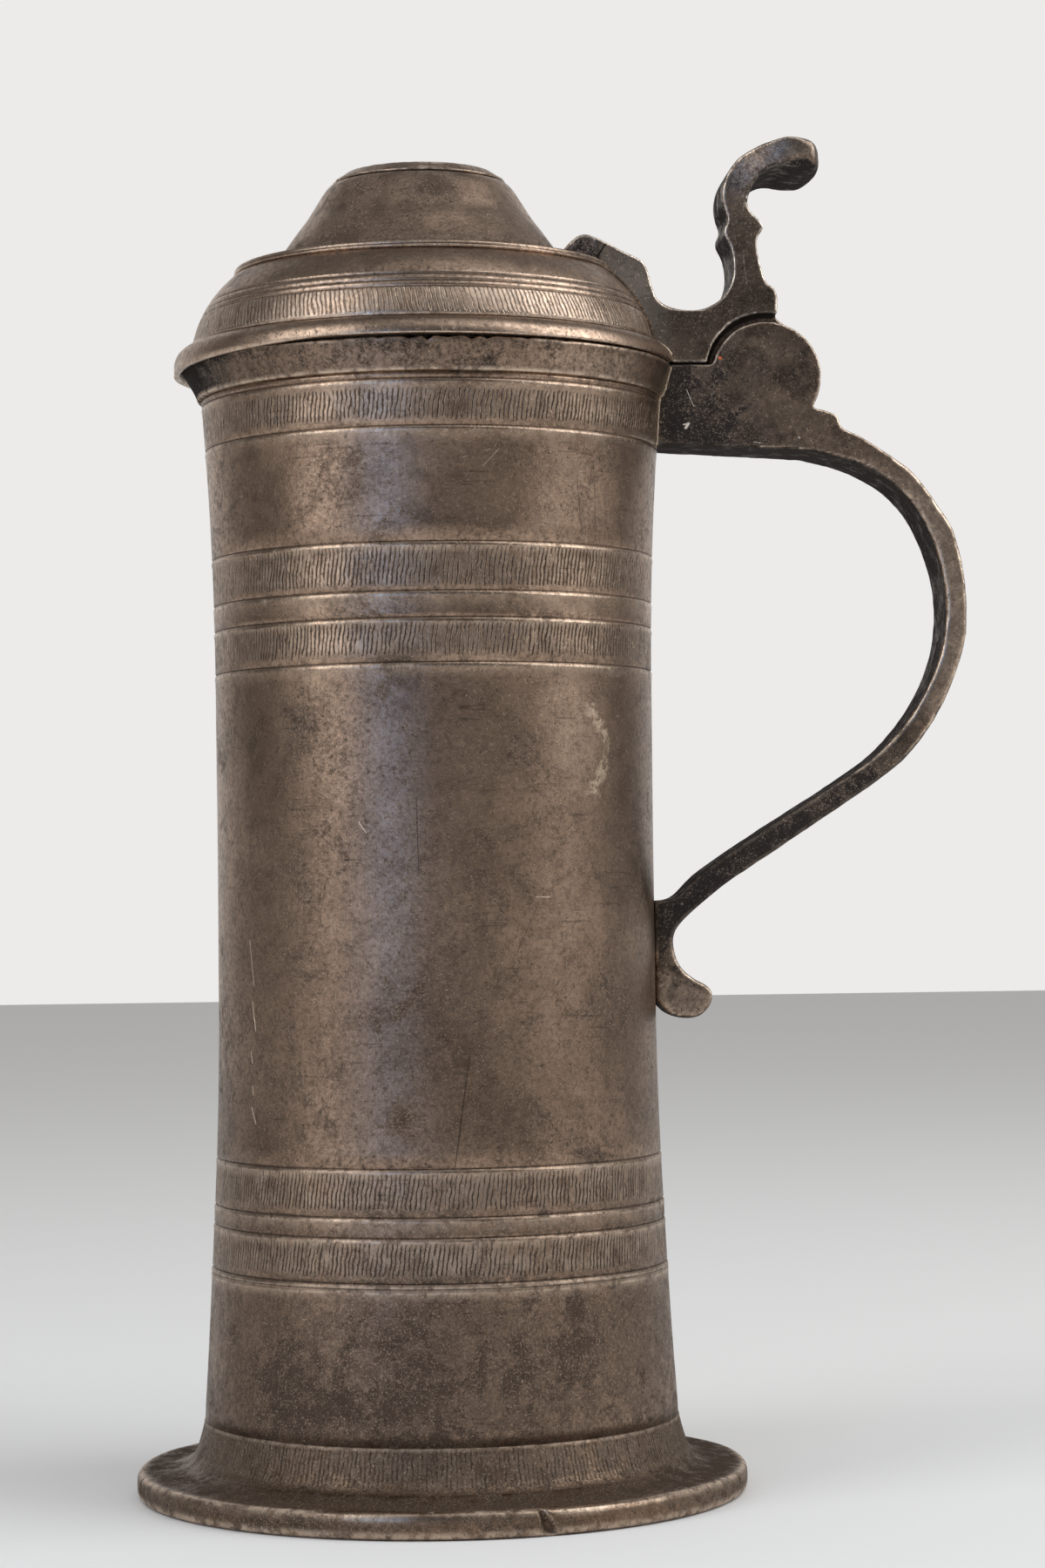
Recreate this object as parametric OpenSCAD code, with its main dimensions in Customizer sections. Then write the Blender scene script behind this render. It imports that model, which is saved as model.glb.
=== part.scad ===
// Pewter flagon with a hinged lid. Millimetres, +Z up.
// The origin is the centre of the foot on the surface that the flagon stands on.
// The handle is towards +X and the pouring lip towards -X.

/* [Foot] */
// Diameter of the foot's flange
foot_d = 147.2; // [136:0.2:160]
// Height of the flange's edge
foot_edge_h = 6; // [4.5:0.1:8]
// Rounding of the flange's edge
foot_edge_round = 1.2; // [0.4:0.1:2]
// Rise of the flange's top from its edge to the cavetto
foot_slope_rise = 1.9; // [1:0.1:4]
// Width of the flange's sloping top
foot_slope_w = 13.7; // [8:0.1:18]
// Width of the cavetto between the flange's top and the drum
cavetto_w = 2.9; // [1.5:0.1:6]
// Height of the whole foot
foot_h = 18.2; // [15:0.1:24]
// Wall of the foot
foot_wall = 3; // [2:0.1:4]
// Width of the rim that the foot rests on
foot_rest_w = 4; // [3:0.1:8]
// Thickness of the floor
base_t = 2.4; // [1.6:0.1:4]
// Height of the ledge that carries the floor
base_z = 11.6; // [10:0.1:12.5]
// Width of the ledge that carries the floor
base_ledge_w = 2; // [1:0.1:4]

/* [Drum] */
// Height of the drum from the foot to the mouth ring
drum_h = 244.5; // [220:0.5:270]
// Diameter of the drum at its waist
waist_d = 105.4; // [98:0.1:109]
// Diameter of the drum where it meets the mouth ring
drum_mouth_d = 111.2; // [108:0.1:116]
// Wall of the drum
drum_wall = 2.4; // [1.6:0.1:3.5]
// Height of the flare at the drum's foot
lower_flare_h = 99.8; // [60:0.1:110]
// Height of the flare at the drum's mouth
upper_flare_h = 77.7; // [40:0.1:100]
// Depth of a turned line
line_depth = 0.45; // [0.2:0.05:0.8]

/* [Mouth ring] */
// Height of the mouth ring
ring_h = 7.7; // [5:0.1:12]
// Ledge of the mouth ring over the drum
ring_step = 0.6; // [0.3:0.1:2]
// Flare of the mouth ring to its top
ring_flare = 2.4; // [0.5:0.1:4]
// Wall of the mouth ring
ring_wall = 3; // [2.4:0.1:3.4]
// Distance of the pouring lip's centre from the axis
lip_shift = 4; // [3:0.1:6]
// Reach of the pouring lip beyond the ring's top edge
lip_reach = 1.8; // [0.6:0.1:2]

/* [Lid] */
// Gap between the closed lid and the mouth ring
lid_gap = 0.3; // [0.2:0.05:0.6]
// Offset of the lid's axis towards the pouring lip
lid_shift = 1.6; // [1.2:0.1:2]
// Reach of the lid beyond the mouth ring
lid_overhang = 1.9; // [1.7:0.1:3]
// Width of the rounded flange
bead_w = 4.3; // [3:0.1:6]
// Height of the rounded flange
bead_h = 4.6; // [3:0.1:7]
// Depth by which the flange droops at the pouring lip
droop = 2; // [1:0.1:3]
// Wall of the drooping rim
droop_wall = 1.3; // [0.8:0.1:1.4]
// Height of the dome
dome_h = 17.3; // [12:0.1:24]
// Bulge of the dome beyond a straight cone
dome_bulge = 1.9; // [0.5:0.1:3]
// Diameter of the shoulder bead
shoulder_d = 90.8; // [82:0.1:94]
// Height of the shoulder bead
shoulder_h = 1.9; // [1.2:0.1:3]
// Wall of the lid
lid_wall = 2.2; // [1.6:0.1:3]
// Width of the seat under the flange
seat_w = 6.5; // [5:0.1:9]

/* [Crown] */
// Height of the crown above the shelf
crown_h = 20.9; // [14:0.1:28]
// Diameter of the crown's base
crown_base_d = 72.8; // [66:0.1:78]
// Diameter of the crown under its rim
crown_top_d = 40.6; // [34:0.1:46]
// Height of the sloping rim
crown_rim_h = 2.6; // [1.5:0.1:4]
// Width of the sloping rim
crown_rim_w = 2.4; // [1:0.1:4]
// Wall of the crown
crown_wall = 2.2; // [1.6:0.1:3]
// Offset of the crown from the lid's axis
crown_shift = 0.6; // [0:0.1:1]
// Thickness of the disc that closes the crown
disc_t = 1.6; // [1:0.1:2]

/* [Hinge] */
// Distance of the hinge axis from the mouth ring's top edge
hinge_out = 22.2; // [20.5:0.1:24]
// Depth of the hinge axis below the mouth ring's top
hinge_drop = 3.1; // [2.5:0.1:4]
// Radius of the hinge leaves
leaf_r = 13.4; // [12.5:0.1:13.6]
// Width of each outer leaf
cheek_w = 3.8; // [3:0.1:5]
// Width of each of the lid's leaves
lid_leaf_w = 4.2; // [3.5:0.1:5.5]
// Width of the middle leaf
middle_leaf_w = 4.8; // [4:0.1:6.5]
// Gap between neighbouring leaves
leaf_gap = 0.3; // [0.2:0.05:0.4]
// Gap between the lever and the handle's leaves
lever_gap = 1.3; // [1.1:0.1:1.6]
// Rise of the lever's arc above the hinge axis
lever_rise = 0.8; // [0:0.1:1]
// Diameter of the pin
pin_d = 5; // [4:0.1:6]
// Radial play of the pin in the lid's leaves
pin_play = 0.06; // [0.03:0.01:0.09]
// Radial play of the pin in the handle's leaves
pin_seat = 0.02; // [0.01:0.01:0.03]
// Metal left at the blind end of the pin's hole
blind_wall = 1.2; // [0.8:0.1:2]

/* [Handle] */
// Reach of the handle beyond the drum's waist
handle_reach = 76.7; // [70:0.1:84]
// Depth of the tail scroll below the hinge axis
handle_drop = 154.8; // [145:0.1:165]
// Depth of the hinge block's underside below the hinge axis
block_drop = 17.4; // [16.8:0.1:18]
// Width of the handle's grip
grip_w = 18.5; // [14:0.1:22]
// Width of the tail scroll
tail_w = 14; // [10:0.1:17]

/* [Thumbpiece] */
// Height of the thumbpiece above the hinge axis
lever_h = 57.6; // [50:0.1:64]
// Reach of the tongue from the hinge axis over the lid
tongue_reach = 48.8; // [46:0.1:50]
// Width of the thumbpiece's stem
stem_w = 19.5; // [17:0.1:21]
// Width of the thumbpiece at its scroll
thumb_w = 33.5; // [28:0.1:38]
// Bow of the scroll's tip, seen from above
tip_bow = 2.6; // [1:0.1:4]
// Width of the tongue's tip
tongue_tip_w = 13; // [9:0.1:16]

/* [Hidden] */
$fn = 96;

// overrun of every cut
cut = 2;
// radial room round the floor and the crown's disc
fit = 0.1;
// steps of each span of a curve
steps = 4;

// radii and heights of the body
foot_r = foot_d / 2;
foot_step_r = foot_r - foot_slope_w;
drum_foot_r = foot_step_r - cavetto_w;
waist_r = waist_d / 2;
drum_mouth_r = drum_mouth_d / 2;
foot_step_z = foot_edge_h + foot_slope_rise;
foot_in_r = drum_foot_r - drum_wall;
mouth_z = foot_h + drum_h;
ring_low_r = drum_mouth_r + ring_step;
ring_top_r = ring_low_r + ring_flare;
ring_top_z = mouth_z + ring_h;
lower_flare_power = 1.6;
upper_flare_power = 2.2;
cavetto_power = 1.6;
flare_steps = 10;
// heights of the turned lines as shares of the drum's height
line_shares = [0.145, 0.150, 0.192, 0.211, 0.256, 0.729, 0.771, 0.796, 0.842, 0.950, 0.994];
// shares of the ring's height and flare at its slight bulge
ring_bulge_shares = [0.66, 0.6];
// drop of the lip's root below the ring's foot circle, as a share of its reach
lip_root_share = 0.4;

// radii and heights of the lid
lid_r = ring_top_r + lid_overhang;
seat_z = ring_top_z + lid_gap;
dome_low_r = lid_r - bead_w;
dome_low_z = seat_z + bead_h;
shoulder_r = shoulder_d / 2;
dome_top_r = shoulder_r + line_depth;
dome_top_z = dome_low_z + dome_h;
shelf_z = dome_top_z + shoulder_h;
shoulder_round = shoulder_h / 4;
// places of the dome's fine lines along its curve
dome_line_shares = [0.37, 0.45, 0.55];
dome_steps = 12;
// distance from the body's axis at which the flange starts to droop, as a share of its reach
droop_start_share = 0.45;

// radii and heights of the crown
crown_base_r = crown_base_d / 2;
crown_top_r = crown_top_d / 2;
crown_top_z = shelf_z + crown_h + crown_rim_h;
crown_rim_r = crown_top_r - crown_rim_w;
crown_x = -lid_shift - crown_shift;
disc_r = crown_rim_r - crown_rim_w / 2;
disc_z = crown_top_z - crown_rim_h / 2 - disc_t;
// the crown's outline from its base to the foot of its rim: shares of its width and of its height
crown_shares = [[1, 0], [0.85, 0.15], [0.71, 0.30], [0.57, 0.45], [0.45, 0.57],
                [0.32, 0.73], [0.17, 0.91], [0.08, 0.98], [0, 1]];

// hinge
hinge_x = ring_top_r + hinge_out;
hinge_z = ring_top_z - hinge_drop;
hinge_w = 2 * cheek_w + 2 * lid_leaf_w + middle_leaf_w + 4 * leaf_gap;
pin_r = pin_d / 2;
slot_w = lid_leaf_w + 2 * leaf_gap;
leaf_y = (middle_leaf_w + slot_w) / 2;
slot_r = leaf_r + lever_gap / 2;
lever_r = leaf_r + lever_gap;

// handle, as shares of its reach and its drop
tail_z = hinge_z - handle_drop;
far_x = hinge_x + handle_reach;
block_low_z = hinge_z - block_drop;
back_shares = [[0.505, 0.951], [0.552, 0.947], [0.592, 0.937], [0.604, 0.920], [0.661, 0.907],
               [0.731, 0.885], [0.817, 0.855], [0.892, 0.810], [0.956, 0.760], [0.988, 0.700],
               [0.999, 0.639], [0.990, 0.580], [0.948, 0.518], [0.885, 0.457], [0.798, 0.403],
               [0.662, 0.352], [0.394, 0.265], [0.233, 0.213], [0.115, 0.167], [0.057, 0.130],
               [0.068, 0.088], [0.117, 0.062], [0.164, 0.049], [0.177, 0.030], [0.145, 0.007],
               [0.089, 0.000], [0.031, 0.010], [-0.029, 0.044]];
inner_shares = [[-0.029, 0.185], [0.057, 0.188], [0.139, 0.225], [0.284, 0.274], [0.549, 0.356],
                [0.685, 0.401], [0.778, 0.445], [0.857, 0.501], [0.907, 0.559], [0.930, 0.619],
                [0.921, 0.688], [0.883, 0.749], [0.829, 0.798], [0.747, 0.838], [0.631, 0.867],
                [0.500, 0.884]];
// heights of the handle's changes in width, as shares of its drop, from the hinge axis down
width_shares = [0.13, 0.24, 0.36, 0.6];

// lever, as shares of the tongue's reach and the lever's height, from the hinge axis
tongue_shares = [[-0.998, 0.545], [-0.945, 0.590], [-0.895, 0.608], [-0.842, 0.594], [-0.691, 0.528],
                 [-0.613, 0.493], [-0.584, 0.455], [-0.564, 0.392], [-0.535, 0.330], [-0.473, 0.297],
                 [-0.385, 0.283], [-0.297, 0.292], [-0.215, 0.332], [-0.168, 0.391], [-0.152, 0.462],
                 [-0.166, 0.545], [-0.199, 0.609], [-0.180, 0.663], [-0.201, 0.726], [-0.205, 0.785],
                 [-0.182, 0.854], [-0.121, 0.922], [-0.037, 0.962], [0.051, 0.986], [0.141, 1.000],
                 [0.235, 0.985], [0.300, 0.942], [0.306, 0.885], [0.262, 0.858], [0.160, 0.862], [0.072, 0.875],
                 [-0.006, 0.854], [-0.053, 0.806], [-0.080, 0.753], [-0.072, 0.705], [-0.023, 0.663],
                 [-0.002, 0.632], [-0.027, 0.597], [-0.035, 0.556], [-0.023, 0.493], [0.006, 0.406],
                 [0.049, 0.372], [0.064, 0.326], [0.059, 0.259]];
// heights between which the lever narrows from the hinge to its stem, as shares of its height
narrow_shares = [0.12, 0.34];
// heights between which the scroll widens, and the height to which the stem overlaps it
scroll_shares = [0.72, 0.88];
stem_share = 0.74;
// the scroll's half width seen from above: shares of the tongue's reach, and of the way from stem to scroll
fan_shares = [[-0.21, 0], [-0.12, 0.16], [-0.04, 0.46], [0.04, 0.76], [0.12, 0.93], [0.2, 1]];
// place along the tongue at which its tip starts to narrow
tip_share = 0.84;
// the scroll's tip, seen from above, is an arc
tip_reach_share = 0.3;
scroll_tip_x = hinge_x + tongue_reach * tip_reach_share;
bow_r = (pow(thumb_w / 2, 2) + pow(tip_bow, 2)) / (2 * tip_bow);

// a smooth curve through the points p, with n steps a span
function blend4(a, b, c, d, t) =
    (2 * b + (c - a) * t + (2 * a - 5 * b + 4 * c - d) * t * t + (3 * b - 3 * c + d - a) * t * t * t) / 2;
function curve(p, n = steps) = concat(
    [for (i = [0:len(p) - 2], k = [0:n - 1])
        blend4(p[max(i - 1, 0)], p[i], p[i + 1], p[min(i + 2, len(p) - 1)], k / n)],
    [p[len(p) - 1]]);
// a shallow curve from a to b that bulges to its right by s
function bulged(a, b, s, n) = [for (k = [0:n]) bulge_point(a, b, s, k / n)];
function bulge_point(a, b, s, t) =
    a + (b - a) * t + [b[1] - a[1], a[0] - b[0]] * (4 * s * t * (1 - t) / norm(b - a));
function reversed(p) = [for (i = [len(p) - 1:-1:0]) p[i]];
function drum_r(z) =
    z < foot_h + lower_flare_h
    ? waist_r + (drum_foot_r - waist_r) * pow((foot_h + lower_flare_h - z) / lower_flare_h, lower_flare_power)
    : z > mouth_z - upper_flare_h
    ? waist_r + (drum_mouth_r - waist_r) * pow((z - mouth_z + upper_flare_h) / upper_flare_h, upper_flare_power)
    : waist_r;
function at_handle(s) = [waist_r + handle_reach * s[0], tail_z + handle_drop * s[1]];
function at_lever(s) = [hinge_x + tongue_reach * s[0], hinge_z + lever_h * s[1]];

// a solid with the outline of its side view, w wide across the handle's plane
module side(w) { rotate([90, 0, 0]) linear_extrude(height = w, center = true) children(); }
// a solid with the outline of its view from the handle's end, l long
module front(l) { rotate([90, 0, 90]) linear_extrude(height = l) children(); }
module across(y, w, r) { translate([hinge_x, y + w / 2, hinge_z]) rotate([90, 0, 0]) cylinder(h = w, r = r); }
module groove(p) { translate(p) rotate(45) square(line_depth * sqrt(2), center = true); }

drum_heights = concat(
    [for (k = [0:flare_steps]) foot_h + lower_flare_h * k / flare_steps],
    [for (k = [0:flare_steps]) mouth_z - upper_flare_h + upper_flare_h * k / flare_steps]);

module drum_outline(inset = 0, over = 0) {
    polygon(concat(
        [[0, foot_h - over], [drum_foot_r - inset, foot_h - over]],
        [for (z = drum_heights) [drum_r(z) - inset, z]],
        [[drum_mouth_r - inset, mouth_z + over], [0, mouth_z + over]]));
}

module ring_outline(low_r, top_r, over = 0) {
    polygon([
        [0, mouth_z - over], [low_r, mouth_z - over], [low_r, mouth_z],
        [low_r + (top_r - low_r) * ring_bulge_shares[0], mouth_z + ring_h * ring_bulge_shares[1]],
        [top_r, ring_top_z], [top_r, ring_top_z + over], [0, ring_top_z + over]]);
}

module ring_envelope(inset = 0, over = 0) {
    rotate_extrude() ring_outline(ring_low_r - inset, ring_top_r - inset, over);
    translate([-lip_shift, 0, 0])
        rotate_extrude() ring_outline(
            ring_low_r - lip_shift - lip_reach * lip_root_share - inset,
            ring_top_r + lip_reach - lip_shift - inset, over);
}

dome_start = [dome_low_r, dome_low_z];
dome_end = [dome_top_r, dome_top_z];

module lid_outline() {
    polygon(concat(
        [[0, seat_z]],
        [for (a = [0:15:90]) [dome_low_r + bead_w * cos(a), seat_z + bead_h * sin(a)]],
        bulged(dome_start, dome_end, dome_bulge, dome_steps),
        [[shoulder_r, dome_top_z + line_depth],
         [shoulder_r, shelf_z - shoulder_round],
         [shoulder_r - shoulder_round, shelf_z],
         [0, shelf_z]]));
}

module lid_hollow() {
    polygon(concat(
        [[0, seat_z - cut], [lid_r - seat_w, seat_z - cut], [lid_r - seat_w, seat_z + lid_wall]],
        bulged([dome_low_r - lid_wall, dome_low_z], [dome_top_r - lid_wall, dome_top_z - lid_wall / 2],
               dome_bulge, dome_steps),
        [[shoulder_r - lid_wall, shelf_z - lid_wall], [0, shelf_z - lid_wall]]));
}

module lid_envelope() { translate([-lid_shift, 0, 0]) rotate_extrude() lid_outline(); }

function crown_points(inset) = [
    for (s = crown_shares)
        [crown_top_r - inset + (crown_base_r - crown_top_r) * s[0], shelf_z + crown_h * s[1]]];

module crown_envelope() {
    translate([crown_x, 0, 0]) rotate_extrude() polygon(concat(
        [[0, shelf_z]],
        curve(crown_points(0)),
        [[crown_rim_r, crown_top_z], [0, crown_top_z]]));
}

module foot_ring() {
    color("#847868") rotate_extrude() difference() {
        polygon(concat(
            [[foot_r - foot_rest_w, 0], [foot_r - foot_edge_round, 0], [foot_r, foot_edge_round],
             [foot_r, foot_edge_h - foot_edge_round], [foot_r - foot_edge_round, foot_edge_h]],
            [for (k = [0:flare_steps])
                [drum_foot_r + (foot_step_r - drum_foot_r) * pow(1 - k / flare_steps, cavetto_power),
                 foot_step_z + (foot_h - foot_step_z) * k / flare_steps]],
            [[foot_in_r, foot_h], [foot_in_r, base_z], [foot_in_r - base_ledge_w, base_z],
             [foot_in_r - base_ledge_w, base_z - foot_wall / 2],
             [foot_step_r - foot_wall, foot_step_z - foot_wall],
             [foot_r - foot_rest_w - foot_wall, foot_edge_h - foot_wall / 2],
             [foot_r - foot_rest_w, foot_edge_h - foot_wall]]));
        groove([drum_foot_r, foot_h]);
    }
}

module base_disc() {
    color("#6f665a") translate([0, 0, base_z]) cylinder(h = base_t, r = foot_in_r - fit);
}

module drum() {
    color("#8f8270") rotate_extrude() difference() {
        drum_outline();
        drum_outline(drum_wall, cut);
        for (s = line_shares) groove([drum_r(foot_h + drum_h * s), foot_h + drum_h * s]);
    }
}

module mouth_ring() {
    color("#7b6f60") difference() {
        ring_envelope();
        ring_envelope(ring_wall, cut);
    }
}

module lid_cover() {
    color("#968977") union() {
        translate([-lid_shift, 0, 0]) rotate_extrude() difference() {
            lid_outline();
            lid_hollow();
            translate([0, seat_z]) square([crown_top_r, crown_top_z]);
            for (s = dome_line_shares) groove(bulge_point(dome_start, dome_end, dome_bulge, s));
        }
        drooping_rim();
    }
}

// the flange's rim at the pouring lip, cut off along a slope
module drooping_rim() {
    intersection() {
        translate([-lid_shift, 0, 0]) rotate_extrude() polygon([
            [lid_r - droop_wall, seat_z - droop], [lid_r, seat_z - droop],
            [lid_r, seat_z], [lid_r - droop_wall, seat_z + droop_wall]]);
        side(2 * lid_r) polygon([
            [-lid_r - lid_shift, seat_z - droop], [-lid_r * droop_start_share, seat_z],
            [-lid_r * droop_start_share, seat_z + bead_h], [-lid_r - 2 * lid_shift, seat_z + bead_h],
            [-lid_r - 2 * lid_shift, seat_z - droop]]);
    }
}

module lid_crown() {
    color("#8a7d6b") translate([crown_x, 0, 0]) rotate_extrude() difference() {
        polygon(concat(
            curve(crown_points(0)),
            [[crown_rim_r, crown_top_z], [disc_r, crown_top_z], [disc_r, disc_z],
             [disc_r - crown_rim_w, disc_z], [disc_r - crown_rim_w, disc_z - disc_t]],
            reversed(curve([for (p = crown_points(crown_wall)) [p[0], p[1] - crown_rim_h / 2]]))));
        translate([0, shelf_z - crown_h]) square([crown_base_r + cut, crown_h]);
    }
}

module crown_disc() {
    color("#7d7263") translate([crown_x, 0, disc_z]) cylinder(h = disc_t, r = disc_r - fit);
}

// seen from the handle's end: hinge block at the top, grip, then the tail
module handle_widths() {
    heights = [for (s = width_shares) hinge_z - handle_drop * s];
    halves = [hinge_w / 2, (hinge_w + grip_w) / 4, grip_w / 2, (grip_w + tail_w) / 4];
    right = concat(
        [[hinge_w / 2, hinge_z + leaf_r + cut]],
        [for (i = [0:len(heights) - 1]) [halves[i], heights[i]]],
        [[tail_w / 2, tail_z - cut]]);
    polygon(concat(right, [for (p = reversed(right)) [-p[0], p[1]]]));
}

module handle_outline() {
    polygon(concat(
        curve([for (s = back_shares) at_handle(s)]),
        curve([for (s = inner_shares) at_handle(s)]),
        [[hinge_x, block_low_z], [waist_r, block_low_z + hinge_drop / 2],
         [waist_r, ring_top_z], [hinge_x, ring_top_z]]));
}

module handle() {
    color("#75695b") difference() {
        intersection() {
            union() {
                side(hinge_w) handle_outline();
                across(0, hinge_w, leaf_r);
            }
            front(far_x) handle_widths();
        }
        rotate_extrude() drum_outline();
        ring_envelope();
        for (m = [-1, 1]) across(m * leaf_y, slot_w, slot_r);
        across(blind_wall, hinge_w, pin_r + pin_seat);
    }
}

module hinge_pin() {
    color("#5d5a57") across(blind_wall / 2, hinge_w - blind_wall, pin_r);
}

// seen from the handle's end: the lever narrows from the hinge to its stem
module stem_widths() {
    right = [
        [hinge_w / 2, hinge_z - leaf_r],
        [hinge_w / 2, hinge_z + lever_h * narrow_shares[0]],
        [stem_w / 2, hinge_z + lever_h * narrow_shares[1]],
        [stem_w / 2, hinge_z + lever_h * stem_share]];
    polygon(concat(right, [for (p = reversed(right)) [-p[0], p[1]]]));
}

// seen from the handle's end: the scroll widens from the stem
module scroll_widths() {
    right = [
        [stem_w / 2, hinge_z + lever_h * scroll_shares[0]],
        [thumb_w / 2, hinge_z + lever_h * scroll_shares[1]],
        [thumb_w / 2, hinge_z + lever_h + cut]];
    polygon(concat(right, [for (p = reversed(right)) [-p[0], p[1]]]));
}

// seen from above: the scroll fans out to its bowed tip
module scroll_plan() {
    right = concat(
        [[hinge_x - tongue_reach / 2, stem_w / 2]],
        [for (s = fan_shares) [hinge_x + tongue_reach * s[0], (stem_w + (thumb_w - stem_w) * s[1]) / 2]],
        [[scroll_tip_x + cut, thumb_w / 2]]);
    intersection() {
        polygon(concat(right, [for (p = reversed(right)) [p[0], -p[1]]]));
        translate([scroll_tip_x - bow_r, 0]) circle(r = bow_r);
    }
}

module lever_outline() {
    difference() {
        polygon(concat(
            curve([for (s = tongue_shares) at_lever(s)]),
            [[hinge_x, hinge_z], [hinge_x - lever_r, hinge_z], [hinge_x - lever_r, seat_z],
             [hinge_x - tongue_reach, seat_z]]));
        translate([hinge_x, hinge_z + lever_rise]) circle(r = lever_r);
        translate([0, seat_z - bead_h]) square([hinge_x, bead_h]);
    }
}

// seen from above: the tongue narrows to its tip
module tongue_plan() {
    tip_x = hinge_x - tongue_reach;
    neck_x = hinge_x - tongue_reach * tip_share;
    polygon([
        [tip_x, -tongue_tip_w / 2], [neck_x, -stem_w / 2], [neck_x, -thumb_w],
        [hinge_x + tongue_reach, -thumb_w], [hinge_x + tongue_reach, thumb_w], [neck_x, thumb_w],
        [neck_x, stem_w / 2], [tip_x, tongue_tip_w / 2]]);
}

// one of the lid's leaves: a disc on the pin and the neck that joins it to the lever
module lid_leaf(y) {
    across(y, lid_leaf_w, leaf_r);
    translate([0, y, 0]) side(lid_leaf_w) polygon([
        [hinge_x, hinge_z],
        [hinge_x - lever_r, seat_z + leaf_gap],
        [hinge_x - leaf_r, hinge_z + lever_r],
        at_lever(tongue_shares[len(tongue_shares) - 1]),
        [hinge_x + leaf_r * cos(45), hinge_z + leaf_r * sin(45)]]);
}

module thumb_lever() {
    color("#7a6e60") difference() {
        union() {
            intersection() {
                side(thumb_w) lever_outline();
                front(far_x) stem_widths();
                translate([0, 0, seat_z]) linear_extrude(height = lever_h + lever_r) tongue_plan();
            }
            intersection() {
                side(thumb_w) lever_outline();
                front(far_x) scroll_widths();
                translate([0, 0, seat_z]) linear_extrude(height = lever_h + lever_r) scroll_plan();
            }
            for (m = [-1, 1]) lid_leaf(m * leaf_y);
        }
        lid_envelope();
        crown_envelope();
        across(0, hinge_w + cut, pin_r + pin_play);
    }
}

foot_ring();
base_disc();
drum();
mouth_ring();
handle();
hinge_pin();
lid_cover();
lid_crown();
crown_disc();
thumb_lever();
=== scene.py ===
"""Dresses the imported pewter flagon. Lengths are in millimetres until a mesh is made, in the frame of the CAD
part: the foot's centre at the origin, +Z up, the handle towards +X and the pouring lip towards -X."""
import math

import bmesh
import bpy
import numpy as np
from mathutils import Matrix, Vector, noise


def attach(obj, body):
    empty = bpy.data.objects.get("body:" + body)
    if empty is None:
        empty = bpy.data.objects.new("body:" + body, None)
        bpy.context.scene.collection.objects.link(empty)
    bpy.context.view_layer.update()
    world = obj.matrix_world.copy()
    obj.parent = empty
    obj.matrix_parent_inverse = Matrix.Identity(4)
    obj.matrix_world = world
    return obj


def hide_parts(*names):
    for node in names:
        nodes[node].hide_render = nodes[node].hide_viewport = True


MM = 0.001
SEED = 11
# points round a turned body: plain, and where strokes are cut
COARSE = 480
FINE = 960
# waves that make a wall's unevenness
WAVES = 9
# meshes carry the marks wear and glint, dirt, band and darkness at their points; the darkness holds patina,
# stains and painted shade, and below 0 it brightens, partly as a painted glint on the foot's rim; a missing
# one counts as 0
SOOT_AND_SHADE_RANGE = (-0.6, 1.6)
# an outline that turns by this angle, in radians, is marked fully
SHARP = 0.7

# the drum: heights of its ends, radii at foot, waist and mouth, flares and wall, as in the CAD part
DRUM_LOW, DRUM_TOP = 18.2, 262.7
FOOT_R, WAIST_R, MOUTH_R = 57.0, 52.7, 55.6
LOW_FLARE, LOW_POWER = 99.8, 1.6
TOP_FLARE, TOP_POWER = 77.7, 2.2
WALL = 2.4
LINES = (53.65, 54.88, 65.14, 69.79, 80.79, 196.44, 206.71, 212.82, 224.07, 250.48, 261.23)
GROOVE_DEPTH, GROOVE_HALF, GROOVE_DIRT = 0.34, 0.3, 0.16
LIP_RISE, LIP_NEAR, LIP_FAR, LIP_WEAR = 0.16, 0.3, 1.6, 0.75
BAND_EDGE = 0.5
# hatched bands between two turned lines: low, high, strokes round the drum, depth, lean
BANDS = ((54.88, 65.14, 315, 0.07, 0.05), (69.79, 80.79, 315, 0.07, 0.05), (196.44, 206.71, 315, 0.07, 0.14),
         (212.82, 224.07, 315, 0.07, 0.14), (250.48, 260.6, 315, 0.06, 0.08))

# the hinge's axis
HINGE_X, HINGE_Z, HINGE_HALF = 80.8, 267.3, 11.0
# half the width of the lever's stem
STEM_SIDE = 9.75


def angles(count):
    return np.arange(count) * (2 * math.pi / count)


def smooth(x, low, high):
    """0 below low, 1 above high, with a soft step between."""
    t = np.clip((np.asarray(x, float) - low) / (high - low), 0, 1)
    return t * t * (3 - 2 * t)


def fade(x, low, high):
    return 1 - smooth(x, low, high)


def bell(x, middle, reach):
    """1 at middle, falling off softly on both sides."""
    return np.exp(-((x - middle) / reach) ** 2)


def wrapped(angle):
    """An angle in radians, brought between minus and plus half a turn."""
    return (angle + math.pi) % (2 * math.pi) - math.pi


def ragged(turn, reach, height):
    """Unevenness of an edge, up to about 1; reach and height choose its place in the noise."""
    return np.array([noise.noise(Vector((reach * math.cos(a), reach * math.sin(a), height))) for a in turn])


def waves(angle, z, seed, reach, pitch=60):
    """Slow unevenness of a turned wall, in millimetres, as a sum of waves."""
    draw = np.random.default_rng(seed)
    total = np.zeros(np.broadcast(angle, z).shape)
    for _ in range(WAVES):
        turns = draw.integers(1, 9)
        rise = draw.uniform(-1, 1) * 2 * math.pi / pitch
        total += np.sin(turns * angle + rise * z + draw.uniform(0, 2 * math.pi)) / (1 + 0.4 * turns)
    return reach * total / WAVES


def ring(count, radius, z, axis_x=0.0):
    """One ring of points round a vertical axis; radius and z may be numbers or one value a point."""
    a = angles(count)
    return np.stack([axis_x + radius * np.cos(a), radius * np.sin(a), z + 0 * a], 1)


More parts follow.
